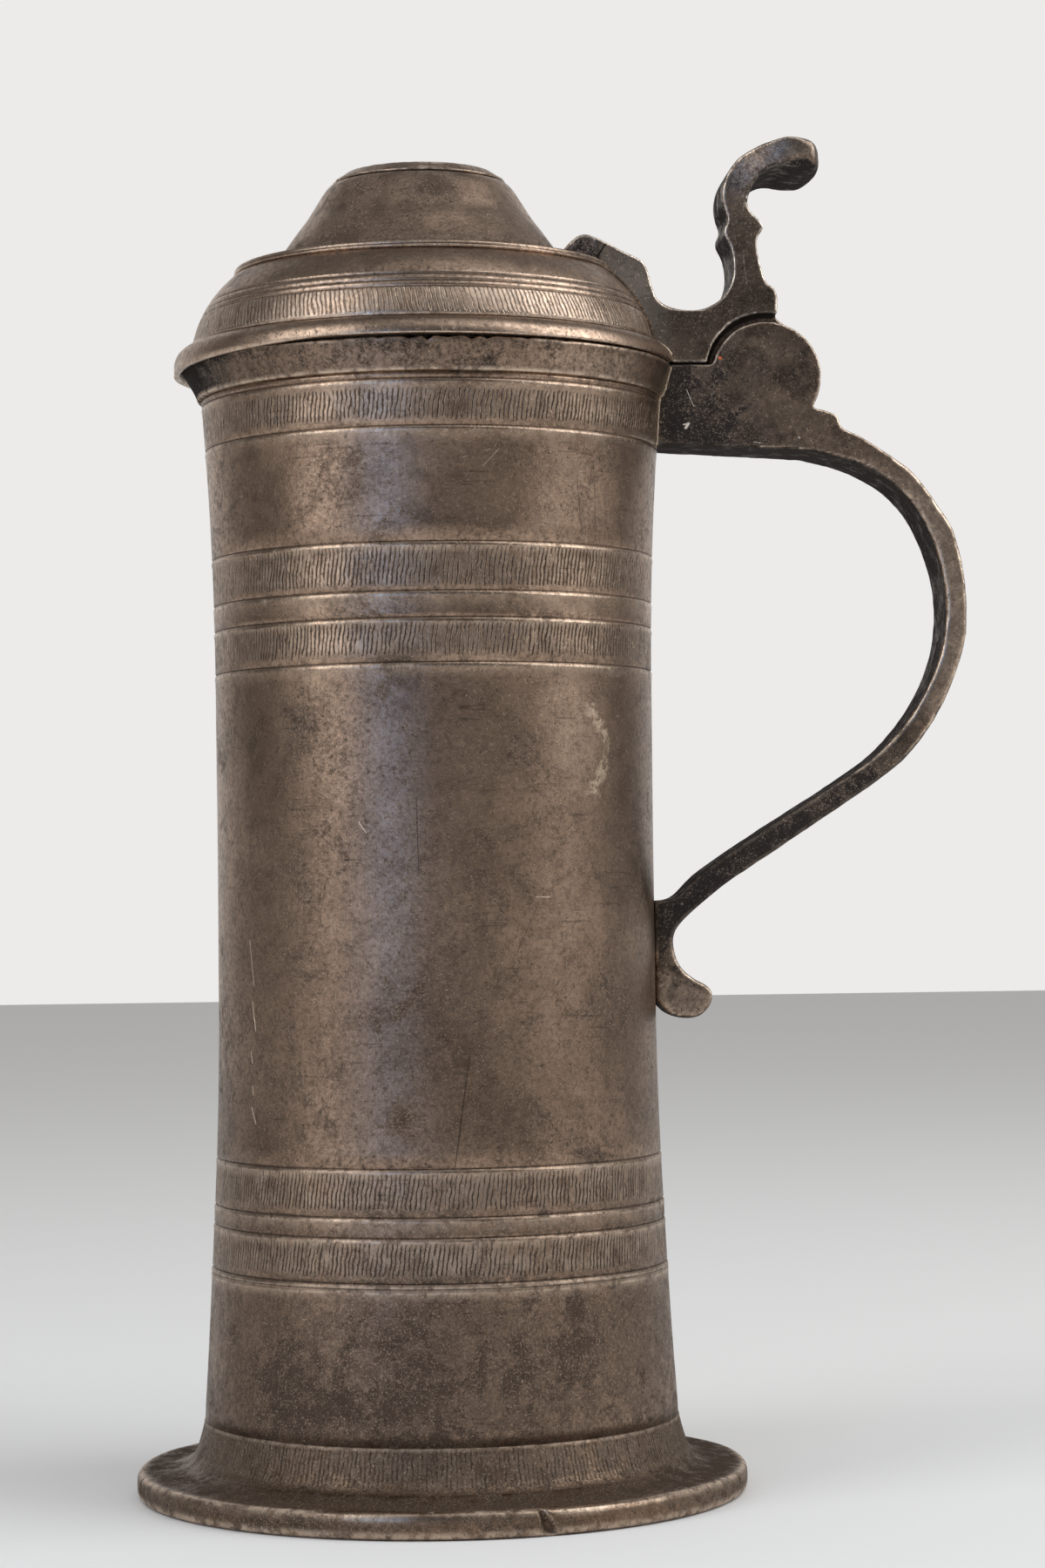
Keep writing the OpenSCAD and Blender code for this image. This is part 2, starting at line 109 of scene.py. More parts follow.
def ring_faces(low, low_count, high, high_count):
    """Faces between two rings that start at the points low and high, of equal or doubled counts."""
    if low_count > high_count:
        return [face[::-1] for face in ring_faces(high, high_count, low, low_count)]
    faces = []
    for j in range(low_count):
        k = (j + 1) % low_count
        if low_count == high_count:
            faces.append((low + j, low + k, high + k, high + j))
        else:
            a, b, c = high + 2 * j, high + 2 * j + 1, high + (2 * j + 2) % high_count
            faces += [(low + j, b, a), (low + j, low + k, b), (low + k, c, b)]
    return faces


def new_object(name, data):
    thing = bpy.data.objects.new(name, data)
    bpy.context.scene.collection.objects.link(thing)
    return thing


def write_marks(mesh, marks):
    for label, values in marks.items():
        mesh.attributes.new(label, "FLOAT", "POINT").data.foreach_set("value", np.asarray(values, np.float32))


def new_mesh(name, points, faces, marks=None):
    """A smooth-shaded object of points in millimetres, with one float attribute for each of the marks."""
    mesh = bpy.data.meshes.new(name)
    mesh.from_pydata((np.asarray(points) * MM).tolist(), [], faces)
    mesh.shade_smooth()
    write_marks(mesh, marks or {})
    mesh.validate()
    return new_object(name, mesh)


def turned(name, rings, inner, soot_and_shade, axis_x=0.0, band=(), wear_and_glint_spots=(), soiled=(), lines=(), keen=1.0):
    """A closed turned body: rings up its outside, then the outline of its inside as radius and height. It is
    worn where the outline sticks out and dirty where it is hollow, by keen; it is also made bright at the
    spots of
    wear and glint, which are worn places and, on the foot's rim, partly a painted glint, and dirty at the
    spots soiled:
    radius, height, reach. band and lines give the heights of hatched bands and turned lines."""
    shown = len(rings)
    rings = rings + [ring(COARSE, radius, z, axis_x) for radius, z in inner]
    counts = [len(r) for r in rings]
    starts = np.concatenate([[0], np.cumsum(counts)])
    faces = []
    for i in range(len(rings)):
        k = (i + 1) % len(rings)
        faces += ring_faces(int(starts[i]), counts[i], int(starts[k]), counts[k])
    bends = []
    for i, here in enumerate(rings):
        before, after = rings[i - 1], rings[(i + 1) % len(rings)]
        bends.append(outline_bend(before, here, after))
    bend = keen * np.concatenate(bends) / SHARP
    points = np.concatenate(rings)
    z = points[:, 2]
    wear_and_glint = np.maximum(bend.clip(0, 1), near_spots(points, wear_and_glint_spots))
    dirt = np.maximum((-bend).clip(0, 1), near_spots(points, soiled))
    hatched = 0 * z
    outside = np.repeat(np.arange(len(rings)) < shown, counts)
    for line in lines:
        dirt = np.maximum(dirt, outside * (np.abs(z - line) < GROOVE_DIRT))
        away = np.abs(z - line + 0.5 * (LIP_NEAR + LIP_FAR)) / (0.6 * (LIP_FAR - LIP_NEAR))
        wear_and_glint = np.maximum(wear_and_glint, LIP_WEAR * outside * np.clip(1 - away, 0, 1))
    for low, high in band:
        inside = smooth(z, low, low + BAND_EDGE) * fade(z, high - BAND_EDGE, high)
        hatched = np.maximum(hatched, outside * inside)
    marks = {"wear_and_glint": wear_and_glint, "dirt": dirt, "band": hatched, "soot_and_shade": np.clip(soot_and_shade(points), *SOOT_AND_SHADE_RANGE)}
    return new_mesh(name, points, faces, marks)


def near_spots(points, spots):
    """1 at the given spots of an outline, falling to 0 at their reach."""
    x, y, z = points.T
    total = 0 * z
    for spot_r, spot_z, reach in spots:
        away = np.hypot(np.hypot(x, y) - spot_r, z - spot_z) / reach
        total = np.maximum(total, np.clip(1 - away, 0, 1))
    return total


def outline_bend(before, here, after):
    """Angle by which the outline turns at a ring: more than 0 where it sticks out."""
    def alike(points):
        if len(points) > len(here):
            return points[::len(points) // len(here)]
        return np.repeat(points, len(here) // len(points), axis=0)

    def flat(start, end):
        return np.hypot(*end.T[:2]) - np.hypot(*start.T[:2]), end[:, 2] - start[:, 2]

    (a, b), (c, d) = flat(alike(before), here), flat(here, alike(after))
    return np.arctan2(a * d - b * c, a * c + b * d + 1e-9)


def cut_strokes(count, z, band, seed):
    """Depth of a hatched band's strokes round one ring; they start and end unevenly and lean."""
    low, high, number, depth, lean = band
    draw = np.random.default_rng(seed)
    total = np.zeros(count)
    a = angles(count)
    step = 2 * math.pi / number
    place = (np.arange(number) + draw.uniform(-0.36, 0.36, number)) * step
    middle = draw.uniform(0.36, 0.64, number)
    half = draw.uniform(0.22, 0.52, number)
    tilt = lean + draw.normal(0, 0.05, number)
    deep = depth * draw.uniform(0.4, 1.15, number)
    wide = step * draw.uniform(0.3, 0.42, number)
    share = (z - low) / (high - low)
    for k in range(number):
        end = abs(share - middle[k]) / half[k]
        if end >= 1:
            continue
        at = place[k] + tilt[k] * (z - low) / WAIST_R
        away = np.abs(wrapped(a - at)) / wide[k]
        near = away < 1
        total[near] = np.maximum(total[near], deep[k] * (1 - end ** 4) * (1 - away[near] ** 2))
    return total


def drum_radius(z):
    if z < DRUM_LOW + LOW_FLARE:
        return WAIST_R + (FOOT_R - WAIST_R) * ((DRUM_LOW + LOW_FLARE - z) / LOW_FLARE) ** LOW_POWER
    if z > DRUM_TOP - TOP_FLARE:
        return WAIST_R + (MOUTH_R - WAIST_R) * ((z - DRUM_TOP + TOP_FLARE) / TOP_FLARE) ** TOP_POWER
    return WAIST_R


def line_relief(z, lines):
    """Radial relief of turned lines: a groove at each line with a low raised lip under it."""
    relief = 0.0
    for line in lines:
        away = abs(z - line)
        if away < GROOVE_HALF:
            relief = min(relief, -GROOVE_DEPTH * (1 - away / GROOVE_HALF))
        elif LIP_NEAR <= line - z <= LIP_FAR:
            relief = max(relief, LIP_RISE * math.sin(math.pi * (line - z - LIP_NEAR) / (LIP_FAR - LIP_NEAR)))
    return relief


# the drum's mesh: steps between its rings, steps at a turned line, and the least steps near one and elsewhere
PLAIN_STEP, BAND_STEP, INNER_RINGS = 3.6, 1.6, 9
LINE_STEPS = (-1.4, -0.95, -0.5, -0.42, -0.2, 0, 0.2, 0.42)
LINE_NEAR, LEAST_NEAR, LEAST_PLAIN = 1.5, 0.12, 0.45


def drum_heights():
    """Heights of the drum's rings: close together at its lines and in its hatched bands."""
    heights = {DRUM_LOW, DRUM_TOP}
    z = DRUM_LOW
    while z < DRUM_TOP:
        heights.add(round(z, 3))
        z += BAND_STEP if any(b[0] < z < b[1] for b in BANDS) else PLAIN_STEP
    for line in LINES:
        heights |= {round(line + away, 3) for away in LINE_STEPS if DRUM_LOW < line + away < DRUM_TOP}
    kept = [DRUM_LOW]
    for z in sorted(heights)[1:]:
        near_line = min(abs(z - line) for line in LINES) < LINE_NEAR
        if z - kept[-1] > (LEAST_NEAR if near_line else LEAST_PLAIN):
            kept.append(z)
    kept[-1] = DRUM_TOP
    return kept


# stains of the drum: angle in degrees, height, half width, half height, strength
DRUM_STAINS = (
    (-133, 33, 10, 10, 0.5), (-100, 36, 9, 13, 0.4), (-118, 26, 16, 5, 0.45), (-75, 34, 9, 9, 0.35),
    (-58, 40, 8, 12, 0.3), (-128, 184, 6, 7, 0.5), (-101, 196, 5, 4, 0.65), (-103, 202, 7, 5, 0.4),
    (-69, 178, 6, 5, 0.5), (-101, 92, 4, 4, 0.6), (-38, 116, 7, 9, 0.5), (-112, 236, 4, 4, 0.45),
    (-139, 217, 4, 5, 0.6), (-100, 217, 9, 4, 0.25), (-96, 60, 9, 7, 0.5), (-128, 147, 9, 12, 0.3),
    (-48, 154, 12, 9, 0.2), (-90, 120, 12, 16, 0.2), (60, 60, 30, 25, 0.5), (130, 170, 25, 40, 0.4),
    (20, 90, 15, 25, 0.4), (90, 230, 22, 9, 0.4), (165, 100, 20, 22, 0.4), (100, 35, 40, 12, 0.5))
STAIN_GAIN = 1.35


def drum_stains_and_shade(points):
    """Stains, and darkening towards the foot that is partly patina and partly painted shade for the light
    falling off lower down; darker also beside the handle.
    """
    x, y, z = points.T
    turn = np.degrees(np.arctan2(y, x))
    # painted shade as well as patina: the wall darkens towards the foot, where the light falls off
    dark = 0.36 * fade(z, 20, 112) + 0.28 * fade(z, 90, 230)
    dark += 0.3 * bell(turn, 0, 20) * (1 - smooth(z, 100, 240) * 0.5)
    for angle, height, wide, tall, strength in DRUM_STAINS:
        around = np.radians((turn - angle + 180) % 360 - 180) * WAIST_R / wide
        dark += STAIN_GAIN * strength * np.exp(-around ** 2 - ((z - height) / tall) ** 2)
    return dark


# reach of the drum's unevenness, the height at which that is full, and the gap drawn in above the foot
DRUM_WAVE, WAVE_FULL = 0.4, 40
GAP_HIGH, GAP_DEEP = 0.2, 0.12


def build_drum():
    rings = []
    for z in drum_heights():
        band = next((b for b in BANDS if b[0] + GROOVE_HALF < z < b[1] - 0.5 * LIP_FAR), None)
        count = FINE if band else COARSE
        uneven = smooth(z, DRUM_LOW, WAVE_FULL) * waves(angles(count), z, SEED, DRUM_WAVE)
        radius = drum_radius(z) + line_relief(z, LINES) + uneven
        if band:
            radius = radius - cut_strokes(count, z, band, SEED + int(band[0]))
        if z < DRUM_LOW + GAP_HIGH:
            radius = radius - GAP_DEEP
        rings.append(ring(count, radius, z))
    inner = [(drum_radius(z) - WALL, z) for z in np.linspace(DRUM_TOP, DRUM_LOW, INNER_RINGS)]
    return turned("drum_wall", rings, inner, drum_stains_and_shade, band=[(b[0] + 0.4, b[1] - 0.9) for b in BANDS],
                  lines=LINES, keen=0.0)


def between(a, b, share):
    """The point at a share of the way from a to b."""
    return tuple(p + (q - p) * share for p, q in zip(a, b))


def refined(points, step):
    """A polyline with points added, so that none are further apart than step."""
    fine = [points[0]]
    for a, b in zip(points, points[1:]):
        parts = max(1, math.ceil(math.dist(a, b) / step))
        fine += [between(a, b, k / parts) for k in range(1, parts + 1)]
    return fine


def rounded(points, reach, parts):
    """A polyline with its inner corners rounded off, from reach before them."""
    soft = [points[0]]
    for a, b, c in zip(points, points[1:], points[2:]):
        start, end = (between(b, p, min(reach / max(math.dist(p, b), 1e-9), 0.5)) for p in (a, c))
        soft += [between(between(start, b, k / parts), between(b, end, k / parts), k / parts)
                 for k in range(parts + 1)]
    return soft + [points[-1]]


def table(value, pairs):
    """The value of a table of pairs, with straight lines between them."""
    return np.interp(value, *zip(*pairs))


def bulged(a, b, bulge, parts):
    """Points of a shallow curve from a to b that swells outwards by bulge."""
    shares = np.linspace(0, 1, parts + 1)
    swell = 4 * bulge * shares * (1 - shares) / math.dist(a, b)
    return [(r + s * (b[1] - a[1]), z + s * (a[0] - b[0]))
            for s, (r, z) in zip(swell.tolist(), (between(a, b, t) for t in shares.tolist()))]


def curve(points, parts=4):
    """A smooth curve through the points, as in the CAD part."""
    line = []
    for i in range(len(points) - 1):
        a, b = points[max(i - 1, 0)], points[i]
        c, d = points[i + 1], points[min(i + 2, len(points) - 1)]
        for k in range(parts):
            t = k / parts
            line.append(tuple((2 * q + (r - p) * t + (2 * p - 5 * q + 4 * r - u) * t * t
                               + (3 * q - 3 * r + u - p) * t ** 3) / 2 for p, q, r, u in zip(a, b, c, d)))
    return line + [points[-1]]


# the foot's outline: from the rim it rests on, round its edge, up the flange and the cavetto
FOOT_EDGE_R = 73.6
FOOT_HATCH = (9.6, 17.2, 330, 0.04, 0.02)
# the notch in its edge: angle, lean in radians a millimetre, half widths at bottom and top, depth, and height
NOTCH_ANGLE, NOTCH_LEAN, NOTCH_HALF = math.radians(-74.2), 0.0063, (0.026, 0.009)
NOTCH_DEPTH, NOTCH_Z = 1.7, 3.5


def foot_patina_and_glint(points):
    """Dark on flange, edge and neck; two places of the edge are bright, partly worn and partly a painted glint
    of the softboxes.
    """
    x, y, z = points.T
    radius, turn = np.hypot(x, y), np.arctan2(y, x)
    flange = 0.75 * smooth(radius, 58.5, 66) * fade(radius, 69, 73)
    edge = smooth(radius, 71.2, 73) * (0.2 + 0.45 * np.sin(3 * turn + 1.2) * np.sin(5 * turn))
    # painted glint as well as wear: two places of the rim take the bright wear colour
    bright = bell(np.degrees(turn), -105, 7) + bell(np.degrees(turn), -68, 5)
    neck = 0.4 * fade(radius, 58.5, 61) + 0.4 * smooth(x, 35, 60)
    return 0.4 + neck + flange + edge - 1.7 * bright * smooth(radius, 71, 72.5) * smooth(z, 3.5, 5)


def build_foot():
    edge = rounded([(69.6, 0), (FOOT_EDGE_R, 0), (FOOT_EDGE_R, 6.1), (70.6, 6.35), (66, 6.8), (62.6, 7.3),
                    (60.2, 8.7), (58.9, 11)], 2.3, 5)
    cavetto = [(58.2, 13.2), (57.6, 15.4), (57.2, 17.0), (57.1, 17.8), (56.75, DRUM_LOW)]
    inner = refined([(54.6, DRUM_LOW), (54.6, 11.6), (52.6, 11.6), (52.6, 10.1), (56.9, 4.9), (66.6, 4.5),
                     (69.6, 3)], 5)
    rings = []
    for radius, z in refined(edge + cavetto, 1.3):
        hatched = radius < 61 and FOOT_HATCH[0] < z < FOOT_HATCH[1]
        turn = angles(FINE if hatched or radius > 71 else COARSE)
        far = smooth(radius, 62, 72)
        middle = NOTCH_ANGLE - NOTCH_LEAN * (z - NOTCH_Z)
        half = np.interp(z, (1.5, 6.2), NOTCH_HALF)
        notch = np.clip(1 - (wrapped(turn - middle) / half) ** 2, 0, 1)
        dent = NOTCH_DEPTH * notch * smooth(z, 0.2, 1.2)
        away = radius + far * (waves(turn, z, SEED + 1, 0.5) - 0.3 - dent)
        height = z + smooth(radius, 66, 72) * smooth(z, 1, 4) * waves(turn, 0 * turn, SEED + 2, 1.2)
        if hatched:
            away = away - cut_strokes(len(turn), z, FOOT_HATCH, SEED + 5)
        rings.append(ring(len(turn), away, height))
    # the first bright spot, on the rim's upper rounding, is partly wear and partly a painted glint
    return turned("foot", rings, inner, foot_patina_and_glint, band=[(9.2, 17.4)], keen=0.4,
                  wear_and_glint_spots=[(72.4, 5.9, 1.3), (73.2, 0.9, 1.5)], soiled=[(56.8, 18.2, 0.14)])


# the mouth ring: bottom, swell and top radii, and the round of the pouring lip, whose centre lies towards -X
RING_TOP = 270.4
RING_PROFILE = (
    (262.7, 56.1), (263.05, 56.5), (263.5, 56.6), (264.4, 56.9), (266.0, 57.4), (267.6, 57.85),
    (269.3, 58.35), (270.05, 58.5), (270.4, 58.2))
LIP_CENTRE, LIP_LOW_R, LIP_TOP_R = -4.0, 51.5, 56.4
RING_WALL, BLEND = 3.0, 0.6
# chips in the ring's rim: angle and half width in degrees, depth
CHIPS = (
    (-97.0, 2.2, 0.5), (-93.0, 1.3, 0.9), (-88.5, 2.4, 0.35), (-83.0, 1.6, 0.8), (-79.5, 1.4, 0.6),
    (-70.0, 1.2, 0.3), (-104.0, 1.0, 0.4), (-60.0, 1.5, 0.2))
CHIP_START = 268.4


def lip_radius(turn, radius):
    """Distance from the flagon's axis to the pouring lip's circle, in each direction."""
    return LIP_CENTRE * np.cos(turn) + np.sqrt(np.maximum(radius ** 2 - (LIP_CENTRE * np.sin(turn)) ** 2, 0))


def ring_radius(turn, z, radius, inset=0.0):
    """Distance from the axis to the ring's wall, whose lip and body run into each other."""
    share = (z - DRUM_TOP) / (RING_TOP - DRUM_TOP)
    lip = lip_radius(turn, LIP_LOW_R + (LIP_TOP_R - LIP_LOW_R) * share ** 0.9 - inset)
    body = radius - inset
    gap = lip - body
    return body + np.where(gap > BLEND, gap, np.where(gap > -BLEND, (gap + BLEND) ** 2 / (4 * BLEND), 0))


def ring_tone_and_shadow(points):
    """Painted shadow under the lid's overhanging flange at the pouring lip; lighter towards the handle, darker
    at the rim.
    """
    x, _, z = points.T
    # the bell at the pouring lip is a painted shadow of the lid's flange
    return 0.1 - 0.3 * smooth(x, 5, 40) + 1.7 * bell(x, -61, 11) + 0.3 * smooth(z, 267, 270)


def build_ring():
    turn = angles(COARSE)
    degrees = np.degrees(wrapped(turn))
    chips = sum(depth * np.clip(1 - np.abs(degrees - at) / half, 0, 1) for at, half, depth in CHIPS)
    rough = ragged(turn, 14, 3)
    rings = []
    for radius, z in refined([(r, z) for z, r in RING_PROFILE], 0.9):
        top = smooth(z, CHIP_START, RING_TOP)
        away = ring_radius(turn, z, radius) + waves(turn, z, SEED + 7, 0.25) - top * 0.35 * chips
        rings.append(ring(COARSE, away, z - top * (chips + 0.12 * np.abs(rough))))
    inner = []
    for z in np.linspace(RING_TOP - 0.1, DRUM_TOP, 6):
        drop = smooth(z, CHIP_START, RING_TOP) * 0.8 * chips
        inner.append((ring_radius(turn, z, table(z, RING_PROFILE), RING_WALL), z - drop))
    return turned("mouth_band", rings, inner, ring_tone_and_shadow, wear_and_glint_spots=[(56.5, 263.1, 0.7), (58.4, 270.1, 0.4)],
                  keen=0.5)


# the lid: its axis, flange, dome, shoulder and shelf
LID_X, LID_R, SEAT_Z = -1.6, 60.5, 270.7
BEAD_W, BEAD_H = 4.3, 4.6
DOME_LOW, DOME_TOP, DOME_BULGE = (56.2, 275.3), (45.85, 292.6), 1.9
# turned lines of the dome: shares of its height, half width and depth, and points up the dome
DOME_LINES, DOME_LINE_HALF, DOME_LINE_DEPTH, DOME_PARTS = (0.37, 0.45, 0.55), 0.38, 0.34, 30
SHELF_Z = 294.5
LID_WALL, LID_SEAT_R, LID_HOLE_R = 2.2, 54.0, 20.4
DROOP, DROOP_START, DROOP_WALL = 2.0, -27.2, 1.3
LID_HATCH = (276.2, 282.6, 305, 0.07, -0.22)


def droop(x):
    """Depth by which the flange's rim hangs down towards the pouring lip."""
    return DROOP * np.clip((DROOP_START - x) / (DROOP_START - LID_X + LID_R), 0, 1)


def dome_outline():
    """The dome from the flange to the shoulder, with its turned lines as small steps inwards."""
    line = np.array(bulged(DOME_LOW, DOME_TOP, DOME_BULGE, DOME_PARTS))
    length = math.dist(DOME_LOW, DOME_TOP)
    points = []
    near = (-0.02, -0.01, 0, 0.01, 0.02)
    shares = sorted({k / 24 for k in range(25)} | {s + d for s in DOME_LINES for d in near})
    for share in shares:
        r, z = (float(np.interp(share * DOME_PARTS, range(DOME_PARTS + 1), side)) for side in line.T)
        away = min(abs(share - s) for s in DOME_LINES) * length
        depth = DOME_LINE_DEPTH * max(0, 1 - away / DOME_LINE_HALF)
        points.append((r - depth * 0.86, z - depth * 0.5))
    return points


def lid_soot(points):
    """Dark on the shelf, and in a band under the shoulder."""
    x, y, z = points.T
    shelf = 0.6 * (np.hypot(x, y) < 44.5)
    return shelf + 0.35 * (smooth(z, 288, 291) - smooth(z, 291.5, 292.4))


def build_lid():
    bead = [(LID_R - BEAD_W + BEAD_W * math.cos(a), SEAT_Z + BEAD_H * math.sin(a))
            for a in (math.radians(d) for d in range(6, 84, 7))]
    neck = [(56.3, 274.95), (55.9, 275.0), (55.95, 275.45), (56.3, 275.7)]
    shoulder = rounded([(45.75, 292.6), (45.3, 292.75), (45.9, 293.1), (45.8, 293.6), (45.45, 293.7),
                        (45.8, 293.85), (45.5, SHELF_Z), (44, SHELF_Z)], 0.25, 2)
    rim_r = LID_R - DROOP_WALL
    rim = [(rim_r - 0.1, SEAT_Z), (rim_r, SEAT_Z - 0.01), (LID_R - 0.35, SEAT_Z - 0.02),
           (LID_R, SEAT_Z + 0.15)]
    shelf = refined([(43.5, SHELF_Z), (LID_HOLE_R, SHELF_Z)], 4)
    hollow = bulged((LID_SEAT_R, 275.3), (43.65, 291.5), DOME_BULGE, 8)[::-1]
    inner = [(LID_HOLE_R, SHELF_Z - LID_WALL), (43.2, SHELF_Z - LID_WALL)] + hollow
    inner += [(LID_SEAT_R, 272.9), (LID_SEAT_R, SEAT_Z)]
    rings = []
    for k, (radius, z) in enumerate(rim + bead + neck + dome_outline()[2:] + shoulder):
        hatched = LID_HATCH[0] < z < LID_HATCH[1]
        turn = angles(FINE if hatched else COARSE)
        cuts = cut_strokes(FINE, z, LID_HATCH, SEED + 6) if hatched else 0 * turn
        away = radius + waves(turn, z, SEED + 3, 0.25) * smooth(SEAT_Z + 30 - z, 0, 9)
        points = ring(len(turn), away - 0.85 * cuts, z - 0.5 * cuts, LID_X)
        if 0 < k < len(rim):
            points[:, 2] -= droop(points[:, 0])
        rings.append(points)
    return turned("lid_dome", rings, shelf + inner, lid_soot, LID_X, band=[LID_HATCH[:2]], keen=0.6,
                  wear_and_glint_spots=[(60.4, 270.9, 1.0), (45.8, 294.1, 0.6), (45.9, 293.3, 0.4), (56.2, 275.8, 0.7)],
                  soiled=[(56.1, 275.1, 0.5), (45.3, 293.7, 0.25), (45.3, 292.7, 0.3)])


# the crown: its axis, the outline of its wall, and its rim
CROWN_X = -2.2
CROWN_BASE_R, CROWN_TOP_R, CROWN_H = 36.4, 20.3, 20.9
CROWN_SHARES = (
    (1, 0), (0.85, 0.15), (0.71, 0.30), (0.57, 0.45), (0.45, 0.57), (0.32, 0.73), (0.17, 0.91), (0.08, 0.98),
    (0, 1))
CROWN_WALL = 2.2
RIM_R, RIM_Z, DISC_R, DISC_LOW, LEDGE_R = 17.9, 318.0, 16.7, 315.1, 14.3


def crown_soot(points):
    """Two stains, dirt low on the wall, and clouds on the far side."""
    x, y, z = points.T
    turn = np.degrees(np.arctan2(y, x - CROWN_X))
    top = 1.4 * bell(turn, -84, 15) * smooth(z, 300, 312)
    side = 0.8 * bell(turn, -125, 16)
    low = 0.75 * fade(z, 294, 305)
    back = 0.4 * (0.5 + 0.5 * np.sin(np.radians(turn) * 3 + z / 5))
    return top + side + low + back * (np.abs(turn - 60) < 110)


def build_crown():
    def wall(inset, drop):
        return curve([(CROWN_TOP_R - inset + (CROWN_BASE_R - CROWN_TOP_R) * s, SHELF_Z - drop + CROWN_H * t)
                      for s, t in CROWN_SHARES])
    outer = wall(0, 0)
    rim = [(CROWN_TOP_R - 0.25, 315.35), (CROWN_TOP_R - 0.3, 315.6), (CROWN_TOP_R + 0.55, 315.75),
           (CROWN_TOP_R + 0.4, 316.05), (19.2, 317.1), (RIM_R + 0.35, 317.8), (RIM_R, RIM_Z),
           (17.2, RIM_Z - 0.05)]
    bore = [p for p in wall(CROWN_WALL, 1.3)[::-1] if SHELF_Z + 0.3 < p[1] < DISC_LOW - 1.8]
    inner = [(DISC_R, RIM_Z - 0.3), (DISC_R, DISC_LOW), (LEDGE_R, DISC_LOW), (LEDGE_R, DISC_LOW - 1.6)]
    inner += bore + [(CROWN_BASE_R - CROWN_WALL, SHELF_Z)]
    rings = []
    turn = angles(COARSE)
    burr = ragged(turn, 9, 1)
    for radius, z in refined(outer, 1.6) + rim:
        edge = bell(z, 315.85, 0.35)
        high = smooth(z, 317.2, 317.9)
        away = radius + waves(turn, z, SEED + 4, 0.25) + edge * 0.35 * np.maximum(burr, -0.2)
        height = z - 0.1 * high * np.maximum(burr, 0) + 0.06 * edge * burr
        rings.append(ring(COARSE, away, height, CROWN_X))
    return turned("crown_bell", rings, inner, crown_soot, CROWN_X, keen=0.5,
                  wear_and_glint_spots=[(20.8, 315.85, 0.7), (18.1, 317.9, 0.7)],
                  soiled=[(20.0, 315.5, 0.35), (36.3, 294.9, 1.0)])


# the disc in the crown's top: its outline and the points round it
DISC_OUTLINE = (
    (16.5, 315.1), (16.6, 315.5), (16.6, 316.3), (16.2, 316.7), (14, 316.62), (11, 316.5),
    (8, 316.42), (5, 316.36), (2.4, 316.4), (0.4, 316.42), (0.4, 315.1), (8, 315.1))
DISC_COUNT = 96


def build_disc():
    rings = []
    for radius, z in DISC_OUTLINE:
        uneven = smooth(z, 315.6, 316.3) * waves(angles(DISC_COUNT), radius, SEED + 9, 0.5, pitch=9)
        rings.append(ring(DISC_COUNT, radius, z + uneven, CROWN_X))
    return turned("crown_plate", rings, (), lambda points: 0.5 + 0 * points[:, 0],
                  soiled=[(16.4, 316.6, 1.4)])


# the pin: radii along the hinge's axis and the points round it
PIN_OUTLINE = ((0.3, 10.9), (1.5, 10.85), (2.2, 10.6), (2.5, 10.1), (2.5, -9.7), (2.2, -9.8), (0.3, -9.8))
PIN_COUNT = 48


def build_pin():
    """The pin, with a peened end that shows in the far cheek; its other end is blind."""
    rings = []
    for radius, y in PIN_OUTLINE[::-1]:
        a = angles(PIN_COUNT)
        rings.append(np.stack([HINGE_X + radius * np.cos(a), y + 0 * a, HINGE_Z - radius * np.sin(a)], 1))
    return new_mesh("pin", np.concatenate(rings), tube_faces(len(rings), PIN_COUNT))


def tube_faces(rows, count):
    """Faces of a closed tube of equal rings."""
    faces = []
    for i in range(rows - 1):
        faces += ring_faces(i * count, count, (i + 1) * count, count)
    last = (rows - 1) * count
    return faces + [tuple(reversed(range(count))), tuple(range(last, last + count))]


def fetched(items, field, width, kind=float):
    """One field of all items, as rows of that width."""
    values = np.empty(len(items) * width, kind)
    items.foreach_get(field, values)
    return values.reshape(-1, width)


class Net:
    """A mesh's points and edges, for smoothing and for measuring how its surface bends."""

    def __init__(self, mesh):
        self.points = fetched(mesh.vertices, "co", 3) / MM
        self.ends = fetched(mesh.edges, "vertices", 2, np.int64)
        self.links = np.maximum(np.bincount(self.ends.ravel(), minlength=len(self.points)), 1)[:, None]

    def averaged(self, values, rounds):
        """Values moved half way to the mean of their neighbours, several times."""
        for _ in range(rounds):
            total = np.zeros_like(values)
            np.add.at(total, self.ends[:, 0], values[self.ends[:, 1]])
            np.add.at(total, self.ends[:, 1], values[self.ends[:, 0]])
            values = (values + total / self.links) / 2
        return values


